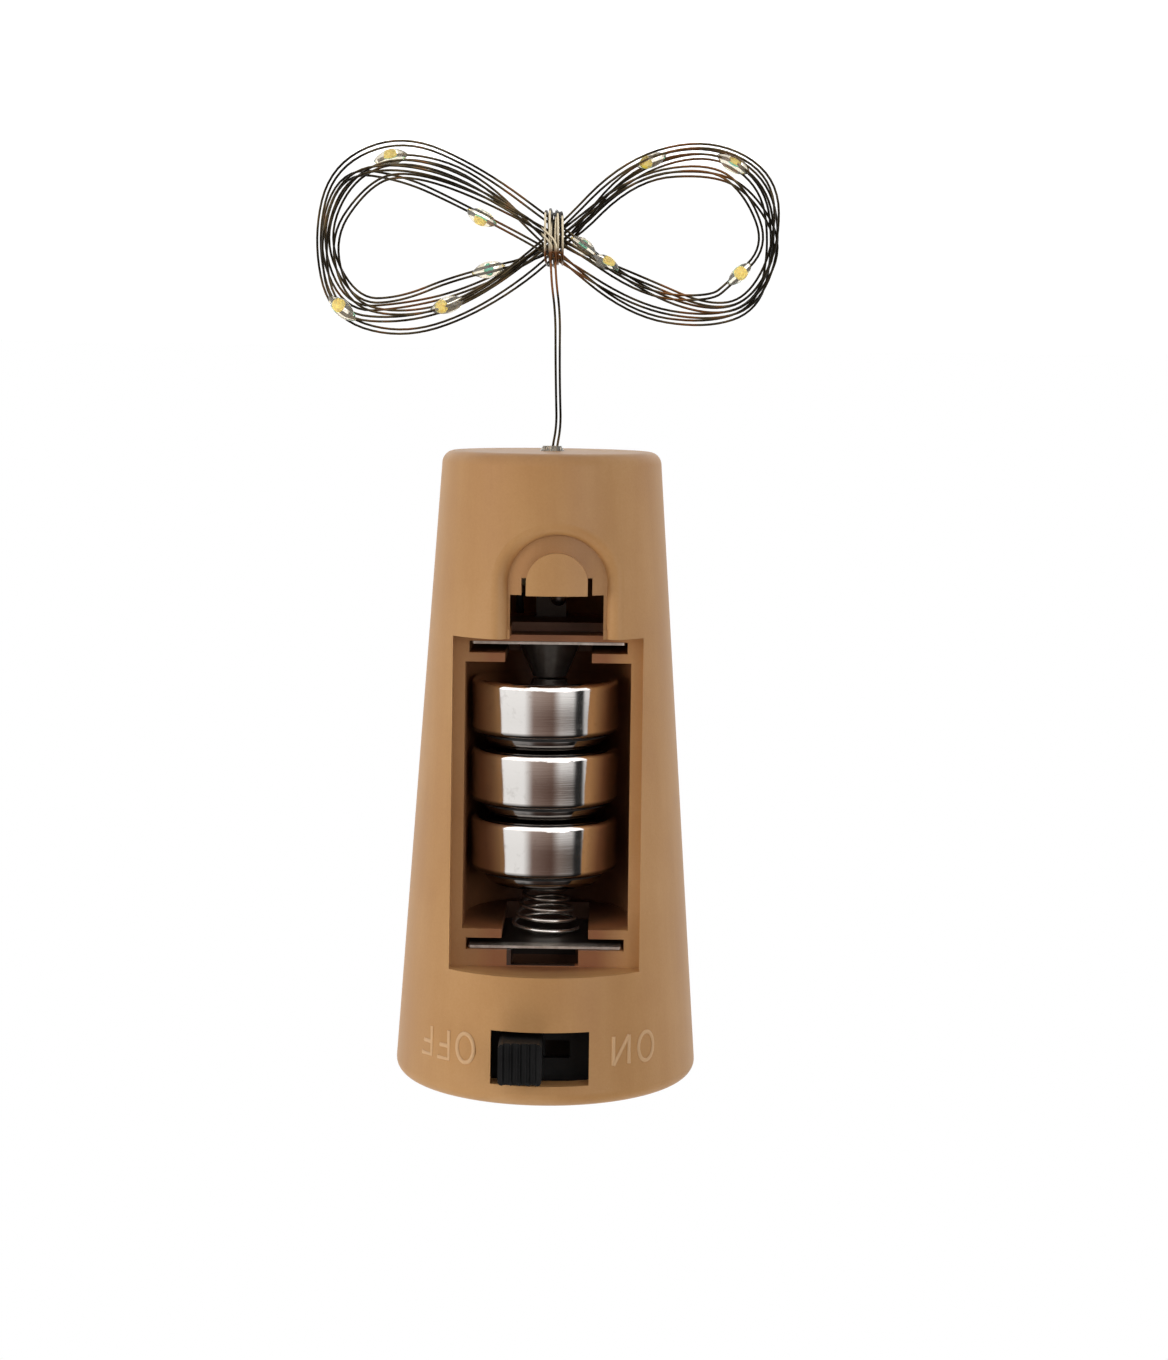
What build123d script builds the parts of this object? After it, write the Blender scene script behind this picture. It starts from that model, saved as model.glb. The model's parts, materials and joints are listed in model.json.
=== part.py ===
from build123d import *
import math
import os

# Cork bottle light: a hollow tapered stopper with three button cells, a slide switch and a
# string of lights, bundled in a figure eight that hangs from the stopper's narrow end.
# The stopper stands as it does in a bottle: narrow end down, wide head up, front towards -Y.
# The origin is on the axis, in the plane of the bottle's mouth. All sizes are in millimetres.

os.makedirs("parts", exist_ok=True)

# Stopper shell
NARROW_DIAMETER = 17.0
WIDE_DIAMETER = 24.0
MOUTH_HEIGHT = 12.0
SHELL_WALL = 1.6
NARROW_FLOOR = 1.8
NARROW_ROUND = 1.0
WIDE_ROUND = 1.0
EXIT_HOLE = 1.4

# End cap that closes the wide end
CAP_THICKNESS = 1.2
CAP_RIM = 1.3
CAP_CLEARANCE = 0.1
CAP_EDGE = 0.25

# Battery bay, from the narrow end to the wide end
COVER_FROM_NARROW = 14.0
COVER_LEDGE = 0.9
COVER_DEPTH = 1.3
LOWER_LIP = 0.5
UPPER_LIP = 1.25
CONTACT_SLOT = 0.9
CONTACT_SLOT_BACK = 4.2
RIB_THICKNESS = 0.7
RIB_GAP = 6.7
CONTACT_ROOM = 1.6
SPRING_ROOM = 2.6
BAY_WALL = 1.0
BAY_END_WALL = 0.7
NOTCH_WIDTH = 5.2
NOTCH_HEIGHT = 1.15
NOTCH_DEPTH = 4.0

# Button cells
CELL_COUNT = 3
CELL_DIAMETER = 11.6
CELL_HEIGHT = 5.4
CELL_GAP = 0.05
CELL_AXIS_X = 0.3
CELL_AXIS_Y = -0.8
CELL_SIDE_CLEARANCE = 0.6
CELL_FLOOR_CLEARANCE = 0.2
CELL_CAP_DIAMETER = 9.4
CELL_CAP_DEPTH = 2.0
CELL_CAP_ROUND = 0.8
CELL_CRIMP = 1.4
CELL_CRIMP_ROUND = 0.35
CELL_BASE_ROUND = 0.5
CELL_GASKET = 0.3
CELL_GASKET_PROUD = 0.25
CELL_FIT = 0.02

# Contact plates
PLATE_WIDTH = 11.8
PLATE_THICKNESS = 0.2
PLATE_CLEARANCE = 0.2
PLATE_SETBACK = 0.25
PLATE_PLAY = 0.05
CONTACT_GAP = 0.1
DOME_BASE = 5.2
DOME_TOP = 2.6
TAB_WIDTH = 2.4
TAB_LENGTH = 2.2
TAB_CLEARANCE = 0.2

# Cone-shaped contact spring
SPRING_WIRE = 0.36
SPRING_BASE_DIAMETER = 5.2
SPRING_TIP_DIAMETER = 2.6
SPRING_TURNS = 2.75
SPRING_BEND = 0.56
SPRING_BEND_TURN = 0.11

# Latch recess below the battery bay
LATCH_OFFSET = -0.65
ARCH_RADIUS = 3.65
ARCH_STRAIGHT = 4.25
ARCH_DEPTH = 0.9
ARCH_ROUND = 0.9
BOSS_RADIUS = 2.33
BOSS_DROP = 0.2
LATCH_WINDOW_WIDTH = 7.1
LATCH_WINDOW_HEIGHT = 3.35
LATCH_WINDOW_DEPTH = 3.0
SLIT_WIDTH = 0.35
SLIT_LENGTH = 1.3

# Slide switch
SWITCH_OFFSET = 0.2
WINDOW_FROM_COVER = 4.15
WINDOW_FROM_WIDE = 1.7
WINDOW_WIDTH = 7.5
WINDOW_HEIGHT = 4.1
SWITCH_LENGTH = 9.6
SWITCH_DEPTH = 3.6
SWITCH_WALL = 0.6
SWITCH_CLEARANCE = 0.1
SWITCH_TRAVEL = 2.9
BASE_THICKNESS = 1.0
SHELF_THICKNESS = 1.0
SHELF_LIP = 0.8
KNOB_WIDTH = 3.3
KNOB_HEIGHT = 3.2
KNOB_PROUD = 1.6
KNOB_ROUND = 0.35
KNOB_RIBS = 5
KNOB_RIB_DEPTH = 0.3
STEM_WIDTH = 1.4
STEM_HEIGHT = 1.2
CARRIAGE_WIDTH = 3.6
CARRIAGE_HEIGHT = 3.4
CARRIAGE_THICKNESS = 1.1
TERMINAL_WIDTH = 0.5
TERMINAL_HEIGHT = 1.2
TERMINAL_HEAD = 0.3
TERMINAL_TAIL = 2.0
WIPER_THICKNESS = 0.2
WIPER_HEIGHT = 1.4

# Sides of the section of each wire and lead
WIRE_SIDES = 6

# Inner leads, splice and resistor
LEAD_DIAMETER = 0.6
SOLDER_DIAMETER = 1.3
SPLICE_DIAMETER = 1.9
SPLICE_LENGTH = 2.0
SPLICE_FROM_FLOOR = 1.0
RESISTOR_DIAMETER = 1.7
RESISTOR_LENGTH = 3.4
RESISTOR_ROUND = 0.35
RESISTOR_WIRE = 0.45
RESISTOR_TAIL = 0.6
RESISTOR_X = 2.6
RESISTOR_Y = 5.2
RESISTOR_FROM_SPLICE = 2.8
LEAD_BACK_X = 2.6
LEAD_RUN = 0.8
SOLDER_X = -0.6

# Two-strand wire, from the splice to the hank
WIRE_WIDTH = 0.5
WIRE_CLEARANCE = 0.02
SEAL_DIAMETER = 1.9
SEAL_PROUD = 0.4
SEAL_INSIDE = 0.7
SEAL_SLOPE = 30
HANK_DROP = 16.0
LEAD_BENDS = ((0.0, 0.0, 2.6), (-0.25, -1.0, 7.2), (-0.95, -2.35, 11.6))

# Hank: figure-eight loops in two layers, and the wraps that tie its waist
HANK_REACH = 16.6
HANK_RISE = 5.9
HANK_LEAN = 0.55
HANK_PITCH = 1.0
HANK_SWING = 1.1
HANK_STEPS_PER_TURN = 16
HANK_FIRST_STEP = 1
HANK_LAST_STEP = 82
WRAP_TURNS = 2
WRAP_PITCH = 1.0
WRAP_GAP = 0.55
WRAP_STEPS_PER_TURN = 8
WRAP_SQUARENESS = 0.5

# Lights on the wire, by their step along the hank, and the steps whose chip faces the back
BEAD_STEPS = (5, 13, 22, 30, 39, 47, 57, 65, 74, 82)
BEAD_STEPS_FACING_BACK = (39, 47)
BEAD_LENGTH = 2.4
BEAD_DIAMETER = 1.35
CHIP_LENGTH = 0.9
CHIP_WIDTH = 0.55
CHIP_THICKNESS = 0.3

# Heights along the axis, upwards from the narrow end
narrow_z = -MOUTH_HEIGHT
floor_z = narrow_z + NARROW_FLOOR
cover_low_z = narrow_z + COVER_FROM_NARROW
lower_slot_low_z = cover_low_z + LOWER_LIP
lower_slot_high_z = lower_slot_low_z + CONTACT_SLOT
bay_low_z = lower_slot_high_z + RIB_THICKNESS
cells_low_z = bay_low_z + CONTACT_ROOM
cells_high_z = cells_low_z + CELL_COUNT * CELL_HEIGHT + (CELL_COUNT - 1) * CELL_GAP
bay_high_z = cells_high_z + SPRING_ROOM
upper_slot_low_z = bay_high_z + RIB_THICKNESS
upper_slot_high_z = upper_slot_low_z + CONTACT_SLOT
cover_high_z = upper_slot_high_z + UPPER_LIP
window_low_z = cover_high_z + WINDOW_FROM_COVER
window_high_z = window_low_z + WINDOW_HEIGHT
window_z = (window_low_z + window_high_z) / 2
wide_z = window_high_z + WINDOW_FROM_WIDE
cap_seat_z = wide_z - CAP_THICKNESS
block_low_z = cover_low_z - BAY_END_WALL
block_high_z = cover_high_z + BAY_END_WALL
arch_z = cover_low_z - ARCH_STRAIGHT
latch_window_low_z = cover_low_z - LATCH_WINDOW_HEIGHT

# Places across the axis
front_reach = WIDE_DIAMETER
channel_radius = CELL_DIAMETER / 2 + CELL_SIDE_CLEARANCE
channel_y = CELL_AXIS_Y + CELL_DIAMETER / 2 + CELL_FLOOR_CLEARANCE - channel_radius
cover_width = 2 * (channel_radius + COVER_LEDGE)
slot_width = PLATE_WIDTH + 2 * PLATE_CLEARANCE
slot_back_y = CELL_AXIS_Y + CONTACT_SLOT_BACK
tab_y = slot_back_y - PLATE_CLEARANCE
mouth_radius = WIDE_DIAMETER / 2 - CAP_RIM


def side_radius(z):
    """Radius of the stopper's tapered side at a height."""
    rise = (z - narrow_z) / (wide_z - narrow_z)
    return (NARROW_DIAMETER + rise * (WIDE_DIAMETER - NARROW_DIAMETER)) / 2


def seat_y(z):
    """Front of the cover's seat at a height: a flat that leans with the taper."""
    edge_low = math.sqrt(side_radius(cover_low_z) ** 2 - (cover_width / 2) ** 2)
    edge_high = math.sqrt(side_radius(cover_high_z) ** 2 - (cover_width / 2) ** 2)
    rise = (z - cover_low_z) / (cover_high_z - cover_low_z)
    return COVER_DEPTH - edge_low - rise * (edge_high - edge_low)


def on_side(edge):
    """Whether an edge lies on the stopper's tapered side."""
    samples = [edge.position_at(share) for share in (0, 0.3, 0.7, 1)]
    return all(abs(math.hypot(point.X, point.Y) - side_radius(point.Z)) < 0.01 for point in samples)


def taper(inset, low, high):
    """Solid between two heights whose side lies inset within the stopper's."""
    with BuildPart() as solid:
        with BuildSketch(Plane.XZ):
            with BuildLine():
                Polyline(
                    (0, low),
                    (side_radius(low) - inset, low),
                    (side_radius(high) - inset, high),
                    (0, high),
                    close=True,
                )
            make_face()
        revolve(axis=Axis.Z)
    return solid.part


def trough(radius, low, high):
    """Half-round trough for the cells, open to the front."""
    with BuildPart() as solid:
        with BuildSketch(Plane.XY.offset(low)):
            with Locations((0, channel_y)):
                Circle(radius)
                Rectangle(2 * radius, front_reach, align=(Align.CENTER, Align.MAX))
        extrude(amount=high - low)
    return solid.part


def block(width, back, front, low, high, middle_x=0.0):
    """Box given by its width about middle_x and its faces along Y and Z."""
    with BuildPart() as solid:
        with Locations((middle_x, (back + front) / 2, (low + high) / 2)):
            Box(width, back - front, high - low)
    return solid.part


def latch_arch(radius, inset):
    """Arch of the latch, from the front back to an inset from the stopper's side."""
    with BuildPart() as solid:
        with BuildSketch(Plane.XZ):
            with Locations((LATCH_OFFSET, arch_z + ARCH_STRAIGHT)):
                SlotCenterToCenter(2 * ARCH_STRAIGHT, 2 * radius, rotation=90)
        extrude(amount=front_reach)
        add(taper(inset, narrow_z, cover_high_z), mode=Mode.SUBTRACT)
    return solid.part


def corner_radii(points):
    """Radius of each bend of a route, as large as its two runs allow."""
    share_of_run = 0.45
    radii = []
    for before, corner, after in zip(points, points[1:], points[2:]):
        run_in = Vector(*corner) - Vector(*before)
        run_out = Vector(*after) - Vector(*corner)
        half_turn = math.radians(run_in.get_angle(run_out)) / 2
        radii.append(share_of_run * min(run_in.length, run_out.length) / math.tan(half_turn))
    return radii


def lead_tube(points, diameter):
    """Round lead along straight runs joined by arcs."""
    start = Vector(*points[0])
    with BuildPart() as tube:
        with BuildLine():
            FilletPolyline(*points, radius=corner_radii(points))
        with BuildSketch(Plane(start, z_dir=Vector(*points[1]) - start)):
            RegularPolygon(diameter / 2, WIRE_SIDES)
        sweep()
    return tube.part


def direction(curve, parameter):
    """Unit tangent of a curve that is given as a function."""
    small = 1e-4
    return (curve(parameter + small) - curve(parameter - small)).normalized()


def arc_or_line(start, end, tangent):
    """Arc that leaves start along tangent, or a line where end lies straight ahead."""
    bend = tangent.cross((end - start).normalized()).length
    if bend < 1e-6:
        Line(start, end)
    else:
        TangentArc(start, end, tangent=tangent)


def biarcs(knots):
    """Smooth route through knots, each a point and a direction: two arcs from knot to knot."""
    for (start, leaving), (end, arriving) in zip(knots, knots[1:]):
        chord = end - start
        along = chord.dot(leaving + arriving)
        spread = 2 * (1 - leaving.dot(arriving))
        if spread < 1e-9:
            reach = chord.dot(chord) / (4 * chord.dot(arriving))
        else:
            reach = (math.sqrt(along * along + spread * chord.dot(chord)) - along) / spread
        middle = (start + end + (leaving - arriving) * reach) * 0.5
        across = (chord - (leaving + arriving) * reach).normalized()
        arc_or_line(start, middle, leaving)
        arc_or_line(middle, end, across)


def least_gap(edges, width, apart):
    """Least clear distance of a tube from itself, between points further apart along it."""
    samples = 8
    points = []
    travelled = 0.0
    for edge in edges:
        for sample in range(samples):
            point = edge.position_at(sample / samples)
            points.append((travelled + edge.length * sample / samples, (point.X, point.Y, point.Z)))
        travelled += edge.length
    nearest = min(
        math.dist(first, second)
        for index, (far, first) in enumerate(points)
        for near, second in points[:index]
        if far - near > apart
    )
    return nearest - width


# Stopper body

with BuildPart() as bay_block:
    add(trough(channel_radius + BAY_WALL, block_low_z, block_high_z))
    add(taper(SHELL_WALL / 2, block_low_z, block_high_z), mode=Mode.INTERSECT)

switch_height = 2 * (cap_seat_z - SWITCH_CLEARANCE / 2 - window_z)
switch_low_z = window_z - switch_height / 2
switch_corner = side_radius(switch_low_z) - SHELL_WALL - SWITCH_CLEARANCE
switch_reach_x = SWITCH_LENGTH / 2 + abs(SWITCH_OFFSET)
switch_front_y = -math.sqrt(switch_corner**2 - switch_reach_x**2)
switch_back_y = switch_front_y + SWITCH_DEPTH
base_back_y = switch_back_y + BASE_THICKNESS
shelf_back_y = base_back_y + SWITCH_CLEARANCE + SHELF_LIP

with BuildPart() as switch_shelf:
    with Locations((SWITCH_OFFSET, shelf_back_y, switch_low_z)):
        Box(
            SWITCH_LENGTH,
            front_reach,
            SHELF_THICKNESS,
            align=(Align.CENTER, Align.MAX, Align.MAX),
        )
        Box(
            SWITCH_LENGTH,
            SHELF_LIP,
            SHELF_LIP,
            align=(Align.CENTER, Align.MAX, Align.MIN),
        )
    add(
        taper(SHELL_WALL / 2, switch_low_z - SHELF_THICKNESS, switch_low_z + SHELF_LIP),
        mode=Mode.INTERSECT,
    )

pocket_depth = ARCH_DEPTH + 2 * ARCH_ROUND

with BuildPart() as latch_floor:
    add(latch_arch(ARCH_RADIUS + ARCH_ROUND, pocket_depth))
    add(taper(ARCH_DEPTH, narrow_z, cover_high_z), mode=Mode.INTERSECT)

with BuildPart() as latch_boss:
    with BuildSketch(Plane.XZ):
        with Locations((LATCH_OFFSET, arch_z)):
            Circle(BOSS_RADIUS)
            Rectangle(2 * BOSS_RADIUS, latch_window_low_z - arch_z, align=(Align.CENTER, Align.MIN))
        with Locations((LATCH_OFFSET, latch_window_low_z)):
            Rectangle(
                4 * BOSS_RADIUS,
                4 * BOSS_RADIUS,
                align=(Align.CENTER, Align.MIN),
                mode=Mode.SUBTRACT,
            )
    extrude(amount=front_reach)
    add(taper(BOSS_DROP, narrow_z, cover_high_z), mode=Mode.INTERSECT)
    add(taper((ARCH_DEPTH + SHELL_WALL) / 2, narrow_z, cover_high_z), mode=Mode.SUBTRACT)

tab_hole = TAB_WIDTH + 2 * TAB_CLEARANCE

with BuildPart() as stopper_body:
    add(taper(0, narrow_z, wide_z))
    fillet(stopper_body.edges().group_by(Axis.Z)[0], NARROW_ROUND)
    fillet(stopper_body.edges().group_by(Axis.Z)[-1], WIDE_ROUND)
    # Arch-shaped latch recess: a deep pocket with a soft outer edge, then the recess's floor in it
    add(latch_arch(ARCH_RADIUS, pocket_depth), mode=Mode.SUBTRACT)
    fillet(stopper_body.edges(Select.LAST).filter_by(on_side), ARCH_ROUND)
    add(latch_floor.part)
    # Hollow, entered from the wide end, with the seat of the end cap
    add(taper(SHELL_WALL, floor_z, cap_seat_z), mode=Mode.SUBTRACT)
    with BuildSketch(Plane.XY.offset(cap_seat_z)):
        Circle(mouth_radius)
    extrude(amount=CAP_THICKNESS, mode=Mode.SUBTRACT)
    # Walls of the battery bay and the shelf that carries the switch
    add(bay_block.part)
    add(switch_shelf.part)
    # Seat of the battery cover
    with BuildSketch(Plane.YZ):
        with BuildLine():
            Polyline(
                (-front_reach, cover_low_z),
                (-front_reach, cover_high_z),
                (seat_y(cover_high_z), cover_high_z),
                (seat_y(cover_low_z), cover_low_z),
                close=True,
            )
        make_face()
    extrude(amount=cover_width / 2, both=True, mode=Mode.SUBTRACT)
    # Trough for the cells, slots for the contact plates and the gaps between their ribs
    add(trough(channel_radius, bay_low_z, bay_high_z), mode=Mode.SUBTRACT)
    add(
        block(slot_width, slot_back_y, -front_reach, lower_slot_low_z, lower_slot_high_z),
        mode=Mode.SUBTRACT,
    )
    add(
        block(slot_width, slot_back_y, -front_reach, upper_slot_low_z, upper_slot_high_z),
        mode=Mode.SUBTRACT,
    )
    add(
        block(RIB_GAP, slot_back_y, -front_reach, lower_slot_low_z, bay_low_z),
        mode=Mode.SUBTRACT,
    )
    add(
        block(RIB_GAP, slot_back_y, -front_reach, bay_high_z, upper_slot_high_z),
        mode=Mode.SUBTRACT,
    )
    # Holes for the plates' solder tabs, and the notch in the upper lip, open to the inside
    add(
        block(
            tab_hole,
            tab_y + TAB_CLEARANCE,
            tab_y - PLATE_THICKNESS - TAB_CLEARANCE,
            block_low_z,
            lower_slot_low_z,
        ),
        mode=Mode.SUBTRACT,
    )
    add(
        block(
            tab_hole,
            tab_y + TAB_CLEARANCE,
            tab_y - PLATE_THICKNESS - TAB_CLEARANCE,
            upper_slot_high_z,
            block_high_z,
        ),
        mode=Mode.SUBTRACT,
    )
    add(
        block(
            NOTCH_WIDTH,
            seat_y(cover_high_z) + NOTCH_DEPTH,
            -front_reach,
            upper_slot_high_z,
            upper_slot_high_z + NOTCH_HEIGHT,
        ),
        mode=Mode.SUBTRACT,
    )
    add(
        block(
            NOTCH_WIDTH,
            seat_y(cover_high_z) + NOTCH_DEPTH,
            seat_y(cover_high_z) + BAY_END_WALL,
            upper_slot_high_z,
            block_high_z,
        ),
        mode=Mode.SUBTRACT,
    )
    # Latch: the boss in the recess, the window above it and a slit at each side of the boss
    add(latch_boss.part)
    window_back = seat_y(cover_low_z) + LATCH_WINDOW_DEPTH
    add(
        block(
            LATCH_WINDOW_WIDTH,
            window_back,
            -front_reach,
            latch_window_low_z,
            cover_low_z,
            LATCH_OFFSET,
        ),
        mode=Mode.SUBTRACT,
    )
    with BuildSketch(Plane.XZ):
        for side in (-1, 1):
            slit_x = LATCH_OFFSET + side * (BOSS_RADIUS + SLIT_WIDTH / 2)
            with Locations((slit_x, latch_window_low_z)):
                Rectangle(SLIT_WIDTH, SLIT_LENGTH, align=(Align.CENTER, Align.MAX))
    extrude(amount=front_reach, mode=Mode.SUBTRACT)
    # Window of the slide switch, and the hole for the wire
    add(
        block(
            WINDOW_WIDTH,
            switch_front_y,
            -front_reach,
            window_low_z,
            window_high_z,
            SWITCH_OFFSET,
        ),
        mode=Mode.SUBTRACT,
    )
    with BuildSketch(Plane.XY.offset(narrow_z)):
        Circle(EXIT_HOLE / 2)
    extrude(amount=NARROW_FLOOR, mode=Mode.SUBTRACT)
stopper_body.part.label = "stopper_body"
export_step(stopper_body.part, "parts/stopper_body.step")

# End cap

with BuildPart() as end_cap:
    with BuildSketch(Plane.XY.offset(cap_seat_z)):
        Circle(mouth_radius - CAP_CLEARANCE)
    extrude(amount=CAP_THICKNESS)
    fillet(end_cap.edges().group_by(Axis.Z)[-1], CAP_EDGE)
end_cap.part.label = "end_cap"
export_step(end_cap.part, "parts/end_cap.step")

# Contact plates

lower_plate_z = lower_slot_low_z + PLATE_PLAY
upper_plate_z = upper_slot_high_z - PLATE_PLAY - PLATE_THICKNESS


def dome_profile(inset, base_z):
    """Half section of the pressed dome, or of the hollow behind it, on the cells' axis."""
    tip_z = cells_low_z - CONTACT_GAP - inset
    with BuildSketch(Plane.XZ.offset(-CELL_AXIS_Y)) as section:
        with BuildLine():
            Polyline(
                (0, base_z),
                (DOME_BASE / 2 - inset, base_z),
                (DOME_TOP / 2 - inset, tip_z),
                (0, tip_z),
                close=True,
            )
        make_face()
    return section.sketch


with BuildPart() as positive_contact:
    front = seat_y(lower_slot_low_z) + PLATE_SETBACK
    add(block(PLATE_WIDTH, tab_y, front, lower_plate_z, lower_plate_z + PLATE_THICKNESS))
    fillet(positive_contact.edges().filter_by(Axis.Z).group_by(Axis.Y)[0], PLATE_THICKNESS)
    dome_axis = Axis((0, CELL_AXIS_Y, 0), (0, 0, 1))
    add(dome_profile(0, lower_plate_z))
    revolve(axis=dome_axis)
    add(dome_profile(PLATE_THICKNESS, lower_plate_z))
    revolve(axis=dome_axis, mode=Mode.SUBTRACT)
    add(
        block(
            TAB_WIDTH,
            tab_y,
            tab_y - PLATE_THICKNESS,
            block_low_z - TAB_LENGTH,
            lower_plate_z + PLATE_THICKNESS,
        )
    )
positive_contact.part.label = "positive_contact"
export_step(positive_contact.part, "parts/positive_contact.step")

with BuildPart() as negative_contact:
    front = seat_y(upper_slot_low_z) + PLATE_SETBACK
    add(block(PLATE_WIDTH, tab_y, front, upper_plate_z, upper_plate_z + PLATE_THICKNESS))
    fillet(negative_contact.edges().filter_by(Axis.Z).group_by(Axis.Y)[0], PLATE_THICKNESS)
    add(
        block(
            TAB_WIDTH,
            tab_y,
            tab_y - PLATE_THICKNESS,
            upper_plate_z,
            block_high_z + TAB_LENGTH,
        )
    )
negative_contact.part.label = "negative_contact"
export_step(negative_contact.part, "parts/negative_contact.step")

# Contact spring: its ends run straight, square to the plate and to the cell

spring_low_z = cells_high_z + CONTACT_GAP
coil_high_z = upper_plate_z - SPRING_WIRE - SPRING_BEND
coil_low_z = spring_low_z + SPRING_WIRE + SPRING_BEND


def spring_radius(turn):
    """Radius of the spring's middle line, from its base at the plate to its tip."""
    share = turn / SPRING_TURNS
    return (SPRING_BASE_DIAMETER + share * (SPRING_TIP_DIAMETER - SPRING_BASE_DIAMETER)) / 2


def spring_line(turn):
    """Point on the coil, in turns from the plate down to the cell."""
    angle = 2 * math.pi * turn
    radius = spring_radius(turn)
    height = coil_high_z + turn / SPRING_TURNS * (coil_low_z - coil_high_z)
    return Vector(radius * math.cos(angle), CELL_AXIS_Y + radius * math.sin(angle), height)


def spring_end(turn, height):
    """Point above or below the coil's end, where the wire stands upright."""
    foot = spring_line(turn)
    return Vector(foot.X, foot.Y, height)


down = Vector(0, 0, -1)
base_turn = -SPRING_BEND_TURN
tip_turn = SPRING_TURNS + SPRING_BEND_TURN
spring_quarters = round(4 * SPRING_TURNS)
spring_knots = [
    (spring_end(base_turn, upper_plate_z), down),
    (spring_end(base_turn, upper_plate_z - SPRING_WIRE), down),
]
for quarter in range(spring_quarters + 1):
    turn = quarter * SPRING_TURNS / spring_quarters
    spring_knots.append((spring_line(turn), direction(spring_line, turn)))
spring_knots.append((spring_end(tip_turn, spring_low_z + SPRING_WIRE), down))
spring_knots.append((spring_end(tip_turn, spring_low_z), down))

with BuildPart() as contact_spring:
    with BuildLine() as spring_route:
        biarcs(spring_knots)
    with BuildSketch(Plane(spring_knots[0][0], z_dir=down)):
        RegularPolygon(SPRING_WIRE / 2, WIRE_SIDES)
    sweep()
spring_gap = least_gap(spring_route.edges(), SPRING_WIRE, math.pi * SPRING_TIP_DIAMETER / 2)
print(f"contact_spring least gap {spring_gap:.3f} mm")
contact_spring.part.label = "contact_spring"
export_step(contact_spring.part, "parts/contact_spring.step")

# Button cells: can, gasket and cap, with the cap towards the spring

cap_radius = CELL_CAP_DIAMETER / 2
gasket_radius = cap_radius + CELL_GASKET

for index in range(CELL_COUNT):
    number = index + 1
    low = cells_low_z + index * (CELL_HEIGHT + CELL_GAP)
    can_top = low + CELL_HEIGHT - CELL_CRIMP + CELL_GASKET_PROUD
    cap_bottom = low + CELL_HEIGHT - CELL_CAP_DEPTH
    middle = Plane((CELL_AXIS_X, CELL_AXIS_Y, low))

    with BuildPart() as cell_can:
        with BuildSketch(middle):
            Circle(CELL_DIAMETER / 2)
        extrude(amount=can_top - low)
        fillet(cell_can.edges().group_by(Axis.Z)[0], CELL_BASE_ROUND)
        fillet(cell_can.edges().group_by(Axis.Z)[-1], CELL_CRIMP_ROUND)
        with BuildSketch(middle.offset(cap_bottom - low)):
            Circle(gasket_radius)
        extrude(amount=CELL_HEIGHT, mode=Mode.SUBTRACT)
    cell_can.part.label = f"cell_can_{number}"
    export_step(cell_can.part, f"parts/cell_can_{number}.step")

    with BuildPart() as cell_gasket:
        with BuildSketch(middle.offset(cap_bottom - low)):
            Circle(gasket_radius - CELL_FIT)
            Circle(cap_radius + CELL_FIT, mode=Mode.SUBTRACT)
        extrude(amount=can_top + CELL_GASKET_PROUD - cap_bottom)
    cell_gasket.part.label = f"cell_gasket_{number}"
    export_step(cell_gasket.part, f"parts/cell_gasket_{number}.step")

    with BuildPart() as cell_cap:
        with BuildSketch(middle.offset(cap_bottom - low)):
            Circle(cap_radius)
        extrude(amount=CELL_CAP_DEPTH)
        fillet(cell_cap.edges().group_by(Axis.Z)[-1], CELL_CAP_ROUND)
    cell_cap.part.label = f"cell_cap_{number}"
    export_step(cell_cap.part, f"parts/cell_cap_{number}.step")

# Slide switch: case, base board, pins, and the knob with its wiper, drawn at OFF

case_high_z = switch_low_z + switch_height
knob_x = SWITCH_OFFSET + SWITCH_TRAVEL / 2
stem_slot = SWITCH_TRAVEL + STEM_WIDTH + 2 * SWITCH_CLEARANCE
carriage_front_y = switch_front_y + SWITCH_WALL + SWITCH_CLEARANCE
carriage_back_y = carriage_front_y + CARRIAGE_THICKNESS
knob_back_y = switch_front_y - SWITCH_CLEARANCE
knob_front_y = -(side_radius(window_z) + KNOB_PROUD)
pin_front_y = switch_back_y - TERMINAL_HEAD
pin_back_y = base_back_y + TERMINAL_TAIL
pin_places = [(SWITCH_OFFSET + place * SWITCH_TRAVEL, window_z) for place in (-1, 0, 1)]

with BuildPart() as switch_case:
    add(
        block(
            SWITCH_LENGTH,
            switch_back_y,
            switch_front_y,
            switch_low_z,
            case_high_z,
            SWITCH_OFFSET,
        )
    )
    add(
        block(
            SWITCH_LENGTH - 2 * SWITCH_WALL,
            switch_back_y,
            switch_front_y + SWITCH_WALL,
            switch_low_z + SWITCH_WALL,
            case_high_z - SWITCH_WALL,
            SWITCH_OFFSET,
        ),
        mode=Mode.SUBTRACT,
    )
    with BuildSketch(Plane.XZ.offset(-switch_front_y - SWITCH_WALL)):
        with Locations((SWITCH_OFFSET, window_z)):
            Rectangle(stem_slot, STEM_HEIGHT + 2 * SWITCH_CLEARANCE)
    extrude(amount=SWITCH_WALL, mode=Mode.SUBTRACT)
switch_case.part.label = "switch_case"
export_step(switch_case.part, "parts/switch_case.step")

with BuildPart() as switch_base:
    add(
        block(
            SWITCH_LENGTH,
            base_back_y,
            switch_back_y,
            switch_low_z,
            case_high_z,
            SWITCH_OFFSET,
        )
    )
    with BuildSketch(Plane.XZ.offset(-base_back_y)):
        with Locations(*pin_places):
            Rectangle(TERMINAL_WIDTH, TERMINAL_HEIGHT)
    extrude(amount=BASE_THICKNESS, mode=Mode.SUBTRACT)
switch_base.part.label = "switch_base"
export_step(switch_base.part, "parts/switch_base.step")

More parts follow.
